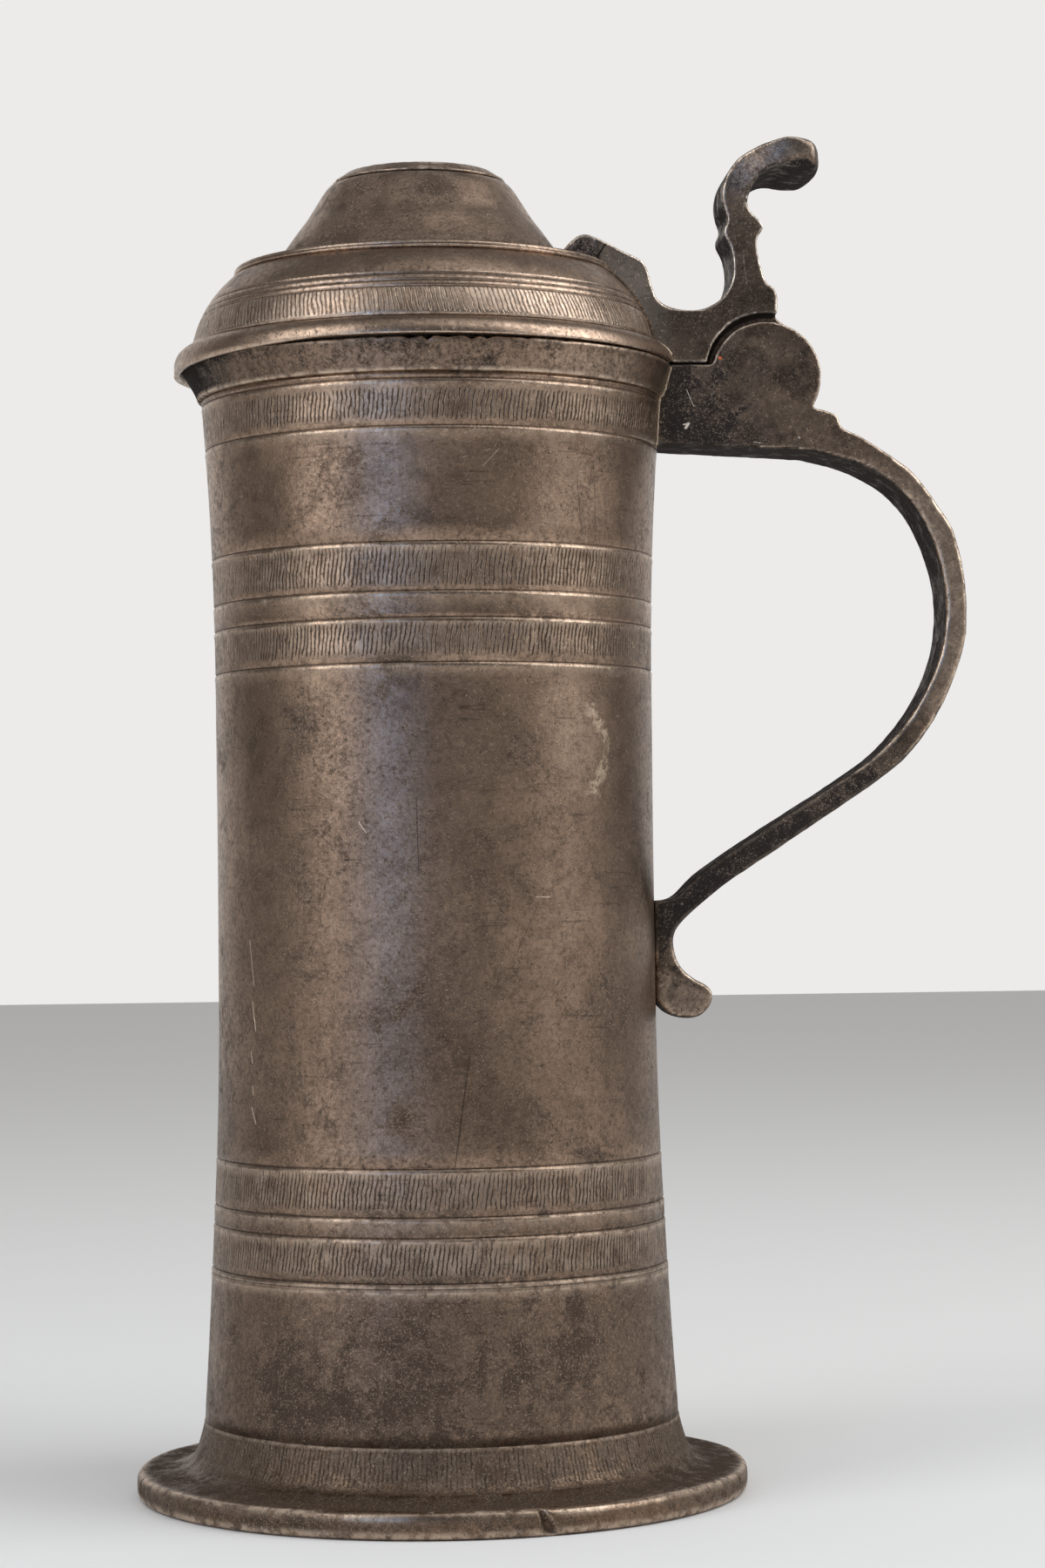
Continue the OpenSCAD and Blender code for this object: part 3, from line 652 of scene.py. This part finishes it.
def cast(name, node, voxel, rounds, uneven, reshape, soot_and_shade):
    """A closely meshed copy of a CAD node: edges rounded by wear, faces slightly uneven, wear and dirt marked,
    and painted shade laid on faces that look down. reshape moves the points first, and the last argument gives
    their darkness, patina and painted shade alike; both are functions."""
    mesh = bpy.data.meshes.new(name)
    net = bmesh.new()
    net.from_mesh(nodes[node].data)
    bmesh.ops.remove_doubles(net, verts=net.verts, dist=1e-6)
    net.to_mesh(mesh)
    net.free()
    thing = new_object(name, mesh)
    remesh = thing.modifiers.new("remesh", "REMESH")
    remesh.mode = "VOXEL"
    remesh.voxel_size = voxel * MM
    made = bpy.data.meshes.new_from_object(thing.evaluated_get(bpy.context.evaluated_depsgraph_get()))
    thing.modifiers.clear()
    thing.data = made
    made.name = name
    net = Net(made)
    soft = net.averaged(reshape(net, net.points), rounds)
    write_points(made, soft)
    normals = fetched(made.vertex_normals, "vector", 3)
    bend = np.einsum("ij,ij->i", soft - net.averaged(soft, 5), normals)
    wear_and_glint = smooth(bend, 0.045, 0.085)
    dirt = smooth(-bend, 0.02, 0.06)
    relief = np.array([noise.noise(Vector(p) / 6.0) + 0.5 * noise.noise(Vector(p) / 1.7) for p in soft])
    write_points(made, soft + uneven * normals * relief[:, None])
    # painted shade: faces that look down are darkened
    under = smooth(-normals[:, 2], 0.1, 0.6)
    dark = 1.5 * under + soot_and_shade(soft, normals)
    wear_and_glint = wear_and_glint * (1 - 0.85 * smooth(dark, 0.7, 1.2))
    write_marks(made, {"wear_and_glint": wear_and_glint, "dirt": dirt, "band": 0 * wear_and_glint, "soot_and_shade": np.clip(dark, *SOOT_AND_SHADE_RANGE)})
    made.shade_smooth()
    return thing


# the lever's half widths, as in the CAD part: by height for its stem and scroll, by reach for the fan
STEM_HALF = ((274.2, 11.0), (286.9, 9.75))
SCROLL_HALF = ((308.8, 9.75), (318.0, 16.75))
FAN_HALF = ((70.6, 9.75), (74.9, 10.9), (78.9, 13.0), (82.8, 15.1), (86.7, 16.3), (90.6, 16.75))
STEM_TOP = 309.9
BLUR, TIP_ROUNDS = 3, 90


def lever_half(x, z):
    scroll = np.minimum(table(z, SCROLL_HALF), table(x, FAN_HALF))
    return np.where(z < STEM_TOP, np.maximum(table(z, STEM_HALF), scroll), scroll)


def reshape_lever(net, points):
    """Takes the kinks out of the lever's sides, and rounds its scroll's tip."""
    x, z = points[:, 0], points[:, 2]
    xs, zs = np.arange(10.0, 110.0), np.arange(250.0, 340.0)
    reach = np.arange(-3 * BLUR, 3 * BLUR + 1)
    weight = np.exp(-0.5 * (reach / BLUR) ** 2)
    weight /= weight.sum()
    halves = lever_half(*np.meshgrid(xs, zs, indexing="ij"))
    for axis in (0, 1):
        halves = np.apply_along_axis(
            lambda row: np.convolve(np.pad(row, 3 * BLUR, mode="edge"), weight, "valid"), axis, halves)
    i, k = (x - xs[0]).astype(int), (z - zs[0]).astype(int)
    u, v = x - xs[i], z - zs[k]
    half = (halves[i, k] * (1 - u) * (1 - v) + halves[i + 1, k] * u * (1 - v) + halves[i, k + 1] * (1 - u) * v
            + halves[i + 1, k + 1] * u * v)
    moved = points.copy()
    moved[:, 1] *= half / lever_half(x, z)
    tip = (smooth(x, 85, 92) * smooth(z, 300, 306))[:, None]
    return moved * (1 - tip) + net.averaged(moved, TIP_ROUNDS) * tip


def lever_tone_and_shade(points, normals):
    """Painted shade under the scroll and on the side faces, inside the bow too; dark on the stem; the tongue
    is polished.
    """
    x, _, z = points.T
    down = smooth(-normals[:, 2] - 0.3 * normals[:, 0], 0.2, 0.45)
    # painted shade on the scroll's underside
    scroll_under = smooth(z, 300, 306) * smooth(x, 77, 82) * down
    stem = 0.4 * bell(z, 305, 12) * (normals[:, 1] < -0.5)
    # painted shade on the side faces, which turn away from the near and far sides
    side = 0.9 * fade(np.abs(normals[:, 1]), 0.3, 0.6) * fade(normals[:, 2], 0.3, 0.8)
    tip = 0.35 * smooth(x, 82, 88) * smooth(z, 305, 312) * (np.abs(normals[:, 1]) > 0.4)
    tongue = 0.75 * smooth(x, 39, 42) * fade(x, 50, 62) * fade(-normals[:, 2], 0.0, 0.4)
    tongue -= 0.3 * fade(x, 38, 41)
    return 0.1 + 1.5 * scroll_under + stem + side - tip * (1 - scroll_under) - tongue


def handle_tone_and_shade(points, normals):
    """Dark beside the body and along the lower arm; painted shade on the side faces, strongest inside the bow.
    """
    x, _, z = points.T
    beside = 1.4 * fade(x, 57, 82) * smooth(z, 244, 252)
    arm = 1.4 * fade(z, 150, 200) * smooth(z, 122, 134)
    block = 0.7 * bell(x, 74, 9) * bell(z, 253, 6)
    # painted shade on the side faces, strongest where they face the drum inside the bow
    inner = fade(np.abs(normals[:, 1]), 0.3, 0.7) * (0.3 + 0.85 * smooth(-normals[:, 0], -0.1, 0.5))
    polished = 0.5 * smooth(x, 106, 122) * smooth(z, 165, 190) * (np.abs(normals[:, 1]) > 0.6)
    return beside + arm + block + inner - polished - 0.2 * fade(z, 118, 128)


def reshape_handle(net, points):
    """Wears the strap's long edges rounder than the hinge block's."""
    strap = (smooth(points[:, 0], 100, 110) + fade(points[:, 2], 150, 215))[:, None].clip(0, 1)
    return points * (1 - strap) + net.averaged(points, 8) * strap


# a seam: sides of its bead, and its thickness at both ends as a share
SEAM_SIDES, SEAM_TIP = 9, 0.2


def seam(name, path, radius, seed):
    """A lumpy bead of solder along a path of points."""
    points = []
    for i, here in enumerate(path):
        ahead = Vector(path[min(i + 1, len(path) - 1)]) - Vector(path[max(i - 1, 0)])
        across = ahead.cross(Vector((0, 1, 0.2))).normalized()
        up = across.cross(ahead).normalized()
        lumps = 1 + 0.5 * noise.noise(Vector(here) * 0.9 + Vector((seed, 0, 0)))
        thick = radius * (SEAM_TIP if i in (0, len(path) - 1) else 1) * lumps
        for k in range(SEAM_SIDES):
            a = 2 * math.pi * k / SEAM_SIDES
            points.append(Vector(here) + thick * (math.cos(a) * across + math.sin(a) * up))
    return new_mesh(name, points, tube_faces(len(path), SEAM_SIDES))


def write_points(mesh, points):
    mesh.vertices.foreach_set("co", (points * MM).ravel())
    mesh.update()


# depth of the finest relief in millimetres, and the weak gloss of what isn't bare metal
BUMP_DEPTH, DULL_SPECULAR = 0.07, 0.1


class Nodes:
    """Builds the nodes of a material or of the world: its methods return nodes or output sockets."""

    def __init__(self, owner):
        owner.use_nodes = True
        self.tree = owner.node_tree
        self.tree.nodes.clear()

    def add(self, kind, values=None, **settings):
        node = self.tree.nodes.new(kind)
        for key, value in settings.items():
            setattr(node, key, value)
        for key, value in (values or {}).items():
            if isinstance(value, bpy.types.NodeSocket):
                self.tree.links.new(value, node.inputs[key])
            else:
                node.inputs[key].default_value = value
        return node

    def span(self, value, low, high, to_low=0.0, to_high=1.0):
        ends = {"Value": value, "From Min": low, "From Max": high, "To Min": to_low, "To Max": to_high}
        return self.add("ShaderNodeMapRange", ends, interpolation_type="SMOOTHSTEP").outputs[0]

    def mix(self, share, a, b):
        return self.add("ShaderNodeMix", {0: share, 6: a, 7: b}, data_type="RGBA").outputs[2]


class Shader(Nodes):
    """The nodes of one material; where is the place on the object."""

    def __init__(self, name):
        self.material = bpy.data.materials.new(name)
        super().__init__(self.material)
        self.where = self.add("ShaderNodeTexCoord").outputs["Object"]

    def math(self, operation, a, b=0.0, clamp=False):
        return self.add("ShaderNodeMath", {0: a, 1: b}, operation=operation, use_clamp=clamp).outputs[0]

    def plus(self, a, b, clamp=False):
        return self.math("ADD", a, b, clamp)

    def minus(self, a, b, clamp=False):
        return self.math("SUBTRACT", a, b, clamp)

    def times(self, a, b, clamp=False):
        return self.math("MULTIPLY", a, b, clamp)

    def layered(self, colour, layers):
        """A colour with others laid over it, each given by its share and colour."""
        for share, tint in layers:
            colour = self.mix(share, colour, tint)
        return colour

    def stretched(self, scale, turn=(0, 0, 0)):
        values = {"Vector": self.where, "Scale": scale, "Rotation": turn}
        return self.add("ShaderNodeMapping", values).outputs[0]

    def noise(self, scale, detail=4.0, rough=0.55, where=None, distortion=0.0):
        """Cloudy noise; scale counts its lumps in a metre."""
        values = {"Vector": where or self.where, "Scale": scale, "Detail": detail, "Roughness": rough,
                  "Distortion": distortion}
        return self.add("ShaderNodeTexNoise", values).outputs["Fac"]

    def mark(self, name):
        return self.add("ShaderNodeAttribute", attribute_name=name).outputs["Fac"]

    def place(self):
        return self.add("ShaderNodeSeparateXYZ", {0: self.where}).outputs

    def vector(self, operation, a, b, output=0):
        return self.add("ShaderNodeVectorMath", {0: a, 1: b}, operation=operation).outputs[output]

    def stroke(self, start, end, width):
        """1 on a straight mark from start to end, 0 further than width away from it, all in millimetres."""
        a = Vector(start) * MM
        way = (Vector(end) - Vector(start)) * MM
        off = self.vector("SUBTRACT", self.where, a)
        dot = self.vector("DOT_PRODUCT", off, way, "Value")
        share = self.math("DIVIDE", dot, way.length_squared, clamp=True)
        along = self.add("ShaderNodeVectorMath", {0: way, "Scale": share}, operation="SCALE").outputs[0]
        miss = self.vector("DISTANCE", off, along, "Value")
        return self.span(miss, 0.35 * width * MM, width * MM, 1.0, 0.0)

    def strokes(self, marks):
        """The strongest of several strokes, each given by its start, end and width."""
        total = 0.0
        for mark in marks:
            total = self.math("MAXIMUM", total, self.stroke(*mark))
        return total

    def side_strokes(self, marks, half):
        """Strokes on the side towards the camera, half from the middle: x and z of both ends, and width."""
        return self.strokes(((x, -half, z), (u, -half, w), width) for x, z, u, w, width in marks)

    def finish(self, colour, rough, bump, metallic=1.0):
        relief = self.add("ShaderNodeBump", {"Height": bump, "Strength": 1.0, "Distance": BUMP_DEPTH * MM})
        shader = self.add("ShaderNodeBsdfPrincipled", {
            "Base Color": colour, "Roughness": rough, "Normal": relief.outputs[0], "Metallic": metallic,
            "Specular IOR Level": DULL_SPECULAR})
        self.add("ShaderNodeOutputMaterial", {0: shader.outputs[0]})
        return self.material


def rgb(r, g, b):
    return (r, g, b, 1.0)


DIRT_COLOUR = rgb(0.033, 0.025, 0.020)


def pewter(name, light, middle, dark, rough=0.42, stain=0.6, speck=0.6, strokes=(315, 0.1), stroke_dark=0.75,
           stroke_light=0.3, spots=0.3, marks=None, wear_and_glint_colour=rgb(0.710, 0.550, 0.418)):
    """Old pewter: patina in clouds, dark stains, pits, grain, worn edges, dirty hollows and cut strokes, with
    painted shade and painted glints where its mesh marks them.
    """
    s = Shader(name)
    fine = s.noise(2300, 3, 0.75)
    sandy = s.noise(900, 4, 0.7)
    mottle = s.noise(230, 6, 0.72)
    clouds = s.plus(s.noise(26, 5, 0.62, distortion=0.5), s.span(mottle, 0, 1, -0.16, 0.16))
    blots = s.plus(s.noise(55, 7, 0.72, distortion=0.9), s.span(sandy, 0, 1, -0.10, 0.10))
    # the darkness mark holds patina and stains, and also painted shade under and inside parts
    soot_and_shade = s.plus(s.span(blots, 0.50, 0.66, 0.0, stain), s.mark("soot_and_shade"))
    soot_and_shade = s.times(s.math("MAXIMUM", soot_and_shade, 0.0), s.span(mottle, 0.30, 0.66, 0.5, 1.15))
    pits = s.times(s.span(s.noise(950, 3, 0.62), 0.60, 0.68), speck)
    grains = s.times(s.span(fine, 0.50, 0.74, 0.0, 0.6), s.span(soot_and_shade, 1.0, 1.5, 1.0, 0.2))
    colour = s.layered(s.mix(s.span(clouds, 0.38, 0.64), middle, light), (
        (s.span(s.noise(150, 6, 0.66, distortion=0.4), 0.47, 0.64, 0.0, spots), dark),
        # below 0 the darkness mark lays on the bright wear colour: polish, and on the foot's rim partly a
        # painted glint
        (s.times(s.mark("soot_and_shade"), -1.0, clamp=True), wear_and_glint_colour),
        (s.span(mottle, 0.40, 0.66, 0.0, 0.3), dark),
        (soot_and_shade, dark),
        (s.span(sandy, 0.38, 0.66, 0.0, 0.5), dark),
        (grains, s.mix(0.45, light, wear_and_glint_colour)),
        (pits, DIRT_COLOUR)))
    if marks:
        colour = marks(s, colour)
    cuts = cut_marks(s, *strokes)
    ridges = s.times(s.minus(s.mark("band"), cuts, clamp=True), stroke_light)
    wear_and_glint = s.times(s.mark("wear_and_glint"), s.span(s.noise(330, 4, 0.7), 0.36, 0.58, 0.15, 1.0))
    dirt = s.mark("dirt")
    colour = s.layered(colour, (
        (s.times(cuts, stroke_dark), DIRT_COLOUR),
        (s.times(ridges, s.span(mottle, 0.35, 0.6)), wear_and_glint_colour),
        (s.times(wear_and_glint, 0.8), wear_and_glint_colour),
        (s.times(dirt, 0.9), DIRT_COLOUR)))
    roughness = s.plus(rough, s.span(sandy, 0.3, 0.7, -0.06, 0.08))
    roughness = s.plus(roughness, s.times(s.times(soot_and_shade, soot_and_shade), 0.3))
    roughness = s.minus(roughness, s.times(wear_and_glint, 0.12))
    roughness = s.plus(roughness, s.times(dirt, 0.25), clamp=True)
    height = s.times(s.plus(fine, s.times(sandy, 1.2)), 0.6)
    height = s.minus(s.minus(height, pits), s.times(cuts, 1.3))
    return s.finish(colour, roughness, height, s.span(soot_and_shade, 0.3, 1.25, 1.0, 0.08))


def cut_marks(s, count, lean, wobble=3.0, gaps=0.0):
    """Uneven strokes cut across the hatched bands: their number round the flagon, and their lean."""
    x, y, z = s.place()
    turn = s.times(s.math("ARCTAN2", y, x), count / (2 * math.pi))
    turn = s.minus(turn, s.times(z, lean * count / (2 * math.pi * WAIST_R * MM)))
    turn = s.plus(turn, s.times(s.noise(260, 3, 0.6), wobble))
    line = s.span(s.math("PINGPONG", turn, 0.5), 0.26, 0.42)
    broken = s.span(s.noise(1, 2, 0.6, s.stretched((800, 800, 170))), 0.30 + gaps, 0.46 + gaps)
    ends = s.span(s.plus(s.mark("band"), s.span(s.noise(700, 2), 0, 1, -0.35, 0.35)), 0.35, 0.7)
    return s.times(s.times(line, broken), ends)


def on_drum(angle, z):
    a = math.radians(angle)
    return (drum_radius(z) * math.cos(a), drum_radius(z) * math.sin(a), z)


# scratches on the drum: angle and height of both ends, width
LIGHT_SCRATCHES = (
    (-148.6, 133, -146.8, 122.5, 0.22), (-147.6, 118.5, -146.2, 112, 0.32), (-148.4, 107, -147.6, 104.5, 0.3),
    (-147.7, 94, -145.8, 90.4, 0.32), (-147.5, 99, -147.1, 97, 0.3), (-66.8, 142.4, -62.8, 142.3, 0.14),
    (-85, 243, -78, 245, 0.1), (-80, 241, -76, 245, 0.1), (-112, 160, -110, 157.5, 0.13))
DARK_SCRATCHES = (
    (-84.6, 106.8, -88.8, 80.4, 0.2), (-97.2, 165, -96.8, 149, 0.14), (-120, 118, -112, 104, 0.12),
    (-104, 132, -80, 138, 0.11), (-72, 130, -66, 141, 0.13), (-135, 75, -128, 90, 0.12),
    (-58, 180, -44, 169, 0.11), (-52, 226, -54, 240, 0.15), (-47, 228, -48.5, 243, 0.14))
# the pale stain: angle and height of its centre, half width and half height
PALE_ANGLE, PALE_Z, PALE_WIDE, PALE_TALL = math.radians(-52.5), 176.6, 8.8, 11.0


def drum_marks(s, colour):
    """Scratches, and the pale stain on the drum's right side."""
    light, dark = (
        s.strokes((on_drum(a, low), on_drum(b, high), width) for a, low, b, high, width in scratches)
        for scratches in (LIGHT_SCRATCHES, DARK_SCRATCHES))
    for turn, seed in (((0.5, 0, 0.3), 1), ((-0.6, 0.4, 0), 2)):
        hair = s.noise(1, 1, 0.5, s.stretched((60, 60, 1500), turn))
        few = s.span(s.noise(45 + 7 * seed, 2), 0.56, 0.64)
        thin = s.times(s.span(hair, 0.655, 0.68), few)
        dark = s.math("MAXIMUM", dark, s.times(thin, 0.6))
    colour = s.mix(s.times(dark, 0.7), colour, rgb(0.035, 0.029, 0.022))
    x, y, z = s.place()
    across = s.minus(s.math("ARCTAN2", y, x), PALE_ANGLE)
    across = s.times(across, WAIST_R / PALE_WIDE)
    along = s.times(s.minus(z, PALE_Z * MM), 1 / (PALE_TALL * MM))
    away = s.math("SQRT", s.plus(s.times(across, across), s.times(along, along)))
    away = s.plus(away, s.span(s.noise(240, 4, 0.7), 0, 1, -0.3, 0.3))
    rim = s.times(s.span(away, 0.74, 0.92), s.span(away, 0.98, 1.16, 1.0, 0.0))
    rim = s.times(rim, s.span(across, -0.1, 0.5))
    patch = s.plus(s.times(rim, 0.55), s.span(away, 0.5, 1.05, 0.14, 0.0), clamp=True)
    patch = s.times(patch, s.span(s.noise(620, 4, 0.75), 0.40, 0.56))
    colour = s.mix(patch, colour, rgb(0.816, 0.639, 0.461))
    return s.mix(s.times(light, 0.8), colour, rgb(0.887, 0.710, 0.550))


# the near cheek's nicks and orange speck, and the lever's cracks and scratches: x and z of both ends, width
CHEEK_NICKS = (
    (61.3, 264.2, 63.0, 260.1, 0.1), (61.0, 254.9, 61.7, 255.9, 0.45), (60.5, 255.7, 61.9, 255.9, 0.25),
    (88.4, 252.5, 88.6, 252.4, 0.3), (77.5, 251.4, 80.8, 250.9, 0.1))
CHEEK_SPECK = ((69.5, 271.8, 69.7, 271.7, 0.5),)
TONGUE_CRACKS = ((42.6, 300.3, 40.2, 296.5, 0.3), (39.0, 298.0, 43.3, 292.9, 0.25))
STEM_SCRATCHES = (
    (76.5, 290, 75.6, 297, 0.12), (74.8, 284, 73.9, 279, 0.12), (77.8, 281, 79.3, 277.5, 0.12))


def handle_marks(s, colour):
    return s.layered(colour, (
        (s.times(s.side_strokes(CHEEK_NICKS, HINGE_HALF), 0.8), rgb(0.887, 0.781, 0.675)),
        (s.side_strokes(CHEEK_SPECK, HINGE_HALF), rgb(0.950, 0.231, 0.071))))


def lever_marks(s, colour):
    return s.layered(colour, (
        (s.times(s.side_strokes(STEM_SCRATCHES, STEM_SIDE), 0.5), rgb(0.710, 0.604, 0.515)),
        (s.times(s.side_strokes(TONGUE_CRACKS, STEM_SIDE), 0.9), rgb(0.021, 0.018, 0.016))))


# each metal: its light, middle and dark colour, and what differs from plain pewter
METALS = {
    "pewter_body": (
        rgb(0.506, 0.348, 0.246), rgb(0.334, 0.227, 0.160), rgb(0.068, 0.046, 0.033),
        dict(rough=0.33, speck=0.5, marks=drum_marks, strokes=(315, 0.12, 1.5, 0.02))),
    "pewter_foot": (
        rgb(0.400, 0.266, 0.179), rgb(0.263, 0.173, 0.114), rgb(0.056, 0.037, 0.025),
        dict(rough=0.36, strokes=(330, 0.02, 1.5, 0.08), stroke_dark=0.45, stroke_light=0.1)),
    # the ring's dark colour is nearly black, because it also paints the shadow under the lid's lip
    "pewter_ring": (
        rgb(0.381, 0.263, 0.189), rgb(0.249, 0.170, 0.122), rgb(0.014, 0.011, 0.009),
        dict(rough=0.36, stain=0.7, speck=0.8)),
    "pewter_lid": (
        rgb(0.647, 0.455, 0.330), rgb(0.436, 0.305, 0.219), rgb(0.081, 0.055, 0.039),
        dict(rough=0.33, stain=0.5, spots=0.32, strokes=(305, -0.22, 1.2, -0.1), stroke_dark=0.55,
             stroke_light=0.5, wear_and_glint_colour=rgb(0.639, 0.506, 0.400))),
    "pewter_handle": (
        rgb(0.419, 0.300, 0.217), rgb(0.278, 0.196, 0.144), rgb(0.025, 0.020, 0.018),
        dict(rough=0.36, stain=0.7, speck=0.7, spots=0.6, marks=handle_marks)),
    "pewter_lever": (
        rgb(0.435, 0.309, 0.224), rgb(0.291, 0.208, 0.152), rgb(0.022, 0.018, 0.016),
        dict(rough=0.33, stain=0.5, speck=0.5, spots=0.45, marks=lever_marks,
             wear_and_glint_colour=rgb(0.950, 0.799, 0.656))),
    "iron_pin": (
        rgb(0.160, 0.133, 0.115), rgb(0.115, 0.098, 0.089), rgb(0.044, 0.035, 0.033),
        {}),
    "solder_metal": (
        rgb(0.604, 0.479, 0.355), rgb(0.390, 0.301, 0.213), rgb(0.124, 0.092, 0.071),
        dict(rough=0.38, stain=0.5)),
}


FLOOR_HALF = 4000


def build_stage():
    corners = [(FLOOR_HALF * x, FLOOR_HALF * y, 0) for x, y in ((-1, -1), (1, -1), (1, 1), (-1, 1))]
    floor = new_mesh("floor", corners, [(0, 1, 2, 3)])
    s = Shader("floor_paper")
    floor.data.materials.append(s.finish(rgb(0.80, 0.79, 0.775), 0.9, s.noise(400, 2), metallic=0.0))


# the room's colours: in front of the flagon, behind it, and as it lights what is dull
ROOM_FRONT, ROOM_BEHIND, ROOM_DULL = rgb(0.112, 0.114, 0.118), rgb(0.84, 0.83, 0.82), rgb(0.49, 0.49, 0.49)


def build_world():
    """A room that is dim in front and pale behind; the camera sees only its pale wall."""
    world = bpy.data.worlds.new("studio")
    bpy.context.scene.world = world
    s = Nodes(world)
    path = s.add("ShaderNodeLightPath").outputs
    way = s.add("ShaderNodeSeparateXYZ", {0: s.add("ShaderNodeTexCoord").outputs["Generated"]}).outputs["Y"]
    room = s.mix(s.span(way, 0.40, 0.95), ROOM_FRONT, ROOM_BEHIND)
    seen = s.mix(path["Is Camera Ray"], room, ROOM_BEHIND)
    light = s.mix(path["Is Diffuse Ray"], seen, ROOM_DULL)
    back = s.add("ShaderNodeBackground", {0: light})
    s.add("ShaderNodeOutputWorld", {0: back.outputs[0]})


# the lights: azimuth (0 at the camera, 90 towards +X), distance, height and size in metres, radiance, colour
WHITE = (0.94, 0.97, 1.0)
LIGHTS = {
    "softbox_left": (-58, 1.3, 0.86, (0.70, 1.35), 2.62, WHITE),
    "softbox_right": (75, 1.3, 0.98, (1.12, 1.25), 2.9, WHITE),
    "softbox_top": (10, 0.5, 1.6, (1.2, 1.2), 0.44, WHITE),
    "softbox_lid": (42, 0.75, 1.35, (0.5, 0.5), 1.76, WHITE),
    "softbox_cool": (-28, 1.35, 0.32, (0.30, 0.86), 2.2, (0.25, 0.49, 1.0)),
}
AIM = Vector((0, 0, 0.15))


def build_lights():
    """Soft lights that face the flagon's middle."""
    for name, (azimuth, distance, height, size, radiance, colour) in LIGHTS.items():
        lamp = bpy.data.lights.new(name, "AREA")
        lamp.shape = "RECTANGLE"
        lamp.size, lamp.size_y = size
        lamp.energy = radiance * math.pi * size[0] * size[1]
        lamp.color = colour
        thing = new_object(name, lamp)
        a = math.radians(azimuth)
        thing.visible_camera = False
        thing.location = (distance * math.sin(a), -distance * math.cos(a), height)
        thing.rotation_euler = (AIM - thing.location).to_track_quat("-Z", "Y").to_euler()


# the camera, fitted to the photograph: place in millimetres, angles in degrees, lens and sensor
CAMERA_PLACE, CAMERA_ANGLES = (-39.26, -899.14, 144.4), (3.85, 1.608, -0.69)
LENS = {"lens": 85.29, "sensor_width": 36, "clip_start": 0.01, "clip_end": 50}


def build_camera():
    """The photograph's camera: 0.9 m away, a little to the left, turned and rolled slightly."""
    yaw, pitch, roll = (math.radians(angle) for angle in CAMERA_ANGLES)
    lens = bpy.data.cameras.new("camera")
    for key, value in LENS.items():
        setattr(lens, key, value)
    camera = new_object("camera", lens)
    place = Matrix.Translation(Vector(CAMERA_PLACE) * MM)
    for angle, axis in ((-yaw, "Z"), (math.pi / 2 + pitch, "X"), (roll, "Z")):
        place = place @ Matrix.Rotation(angle, 4, axis)
    camera.matrix_world = place
    bpy.context.scene.camera = camera


def dress(piece, metal, body, node):
    """A finished piece takes the place of its CAD node and takes its metal as material."""
    piece.data.materials.clear()
    piece.data.materials.append(metals[metal])
    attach(piece, body)
    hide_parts(node)


def build_turned():
    dress(build_drum(), "pewter_body", "flagon", "drum")
    dress(build_foot(), "pewter_foot", "flagon", "foot_ring")
    dress(build_ring(), "pewter_ring", "flagon", "mouth_ring")
    dress(build_lid(), "pewter_lid", "lid", "lid_cover")
    dress(build_crown(), "pewter_lid", "lid", "lid_crown")
    dress(build_disc(), "pewter_lid", "lid", "crown_disc")
    dress(build_pin(), "iron_pin", "flagon", "hinge_pin")


def build_cast():
    """Handle and lever: voxel size, rounds of wear and depth of unevenness for each."""
    handle = cast("strap_handle", "handle", 0.5, 4, 0.12, reshape_handle, handle_tone_and_shade)
    dress(handle, "pewter_handle", "flagon", "handle")
    lever = cast("thumbpiece", "thumb_lever", 0.42, 3, 0.09, reshape_lever, lever_tone_and_shade)
    dress(lever, "pewter_lever", "lid", "thumb_lever")


def build_seams():
    """Solder seams on both sides: hinge block to drum and ring, and lever to the lid's flange."""
    block, flange = [], []
    for z in np.arange(250.4, 270.2, 0.7):
        radius = drum_radius(z) if z < DRUM_TOP else table(z, RING_PROFILE)
        block.append((math.sqrt(radius ** 2 - HINGE_HALF ** 2) + 0.15, z))
    for a in np.radians(np.arange(18, 92, 8)):
        reach = math.sqrt((LID_R - BEAD_W + BEAD_W * math.cos(a)) ** 2 - (HINGE_HALF - 0.6) ** 2)
        flange.append((LID_X + reach, SEAT_Z + BEAD_H * math.sin(a)))
    # path, distance from the middle, thickness and body
    seams = {"seam_block_": (block, HINGE_HALF - 0.1, 0.55, "flagon"),
             "seam_flange_": (flange, HINGE_HALF - 0.35, 0.6, "lid")}
    for side, sign in (("near", -1), ("far", 1)):
        for name, (path, half, thick, body) in seams.items():
            bead = seam(name + side, [(x, sign * half, z) for x, z in path], thick, 3 + sign)
            bead.data.materials.append(metals["solder_metal"])
            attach(bead, body)


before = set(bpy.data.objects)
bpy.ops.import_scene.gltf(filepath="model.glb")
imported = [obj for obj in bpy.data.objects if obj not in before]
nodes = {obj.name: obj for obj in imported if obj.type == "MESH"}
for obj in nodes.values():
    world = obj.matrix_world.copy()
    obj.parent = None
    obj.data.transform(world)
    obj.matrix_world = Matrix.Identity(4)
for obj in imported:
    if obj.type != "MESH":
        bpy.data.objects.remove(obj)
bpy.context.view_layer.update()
metals = {name: pewter(name, *colours, **settings) for name, (*colours, settings) in METALS.items()}
build_camera()
build_world()
build_lights()
build_stage()
build_turned()
build_cast()
build_seams()
nodes["base_disc"].data.materials.clear()
nodes["base_disc"].data.materials.append(metals["pewter_body"])

bpy.context.scene.view_settings.view_transform = "Standard"
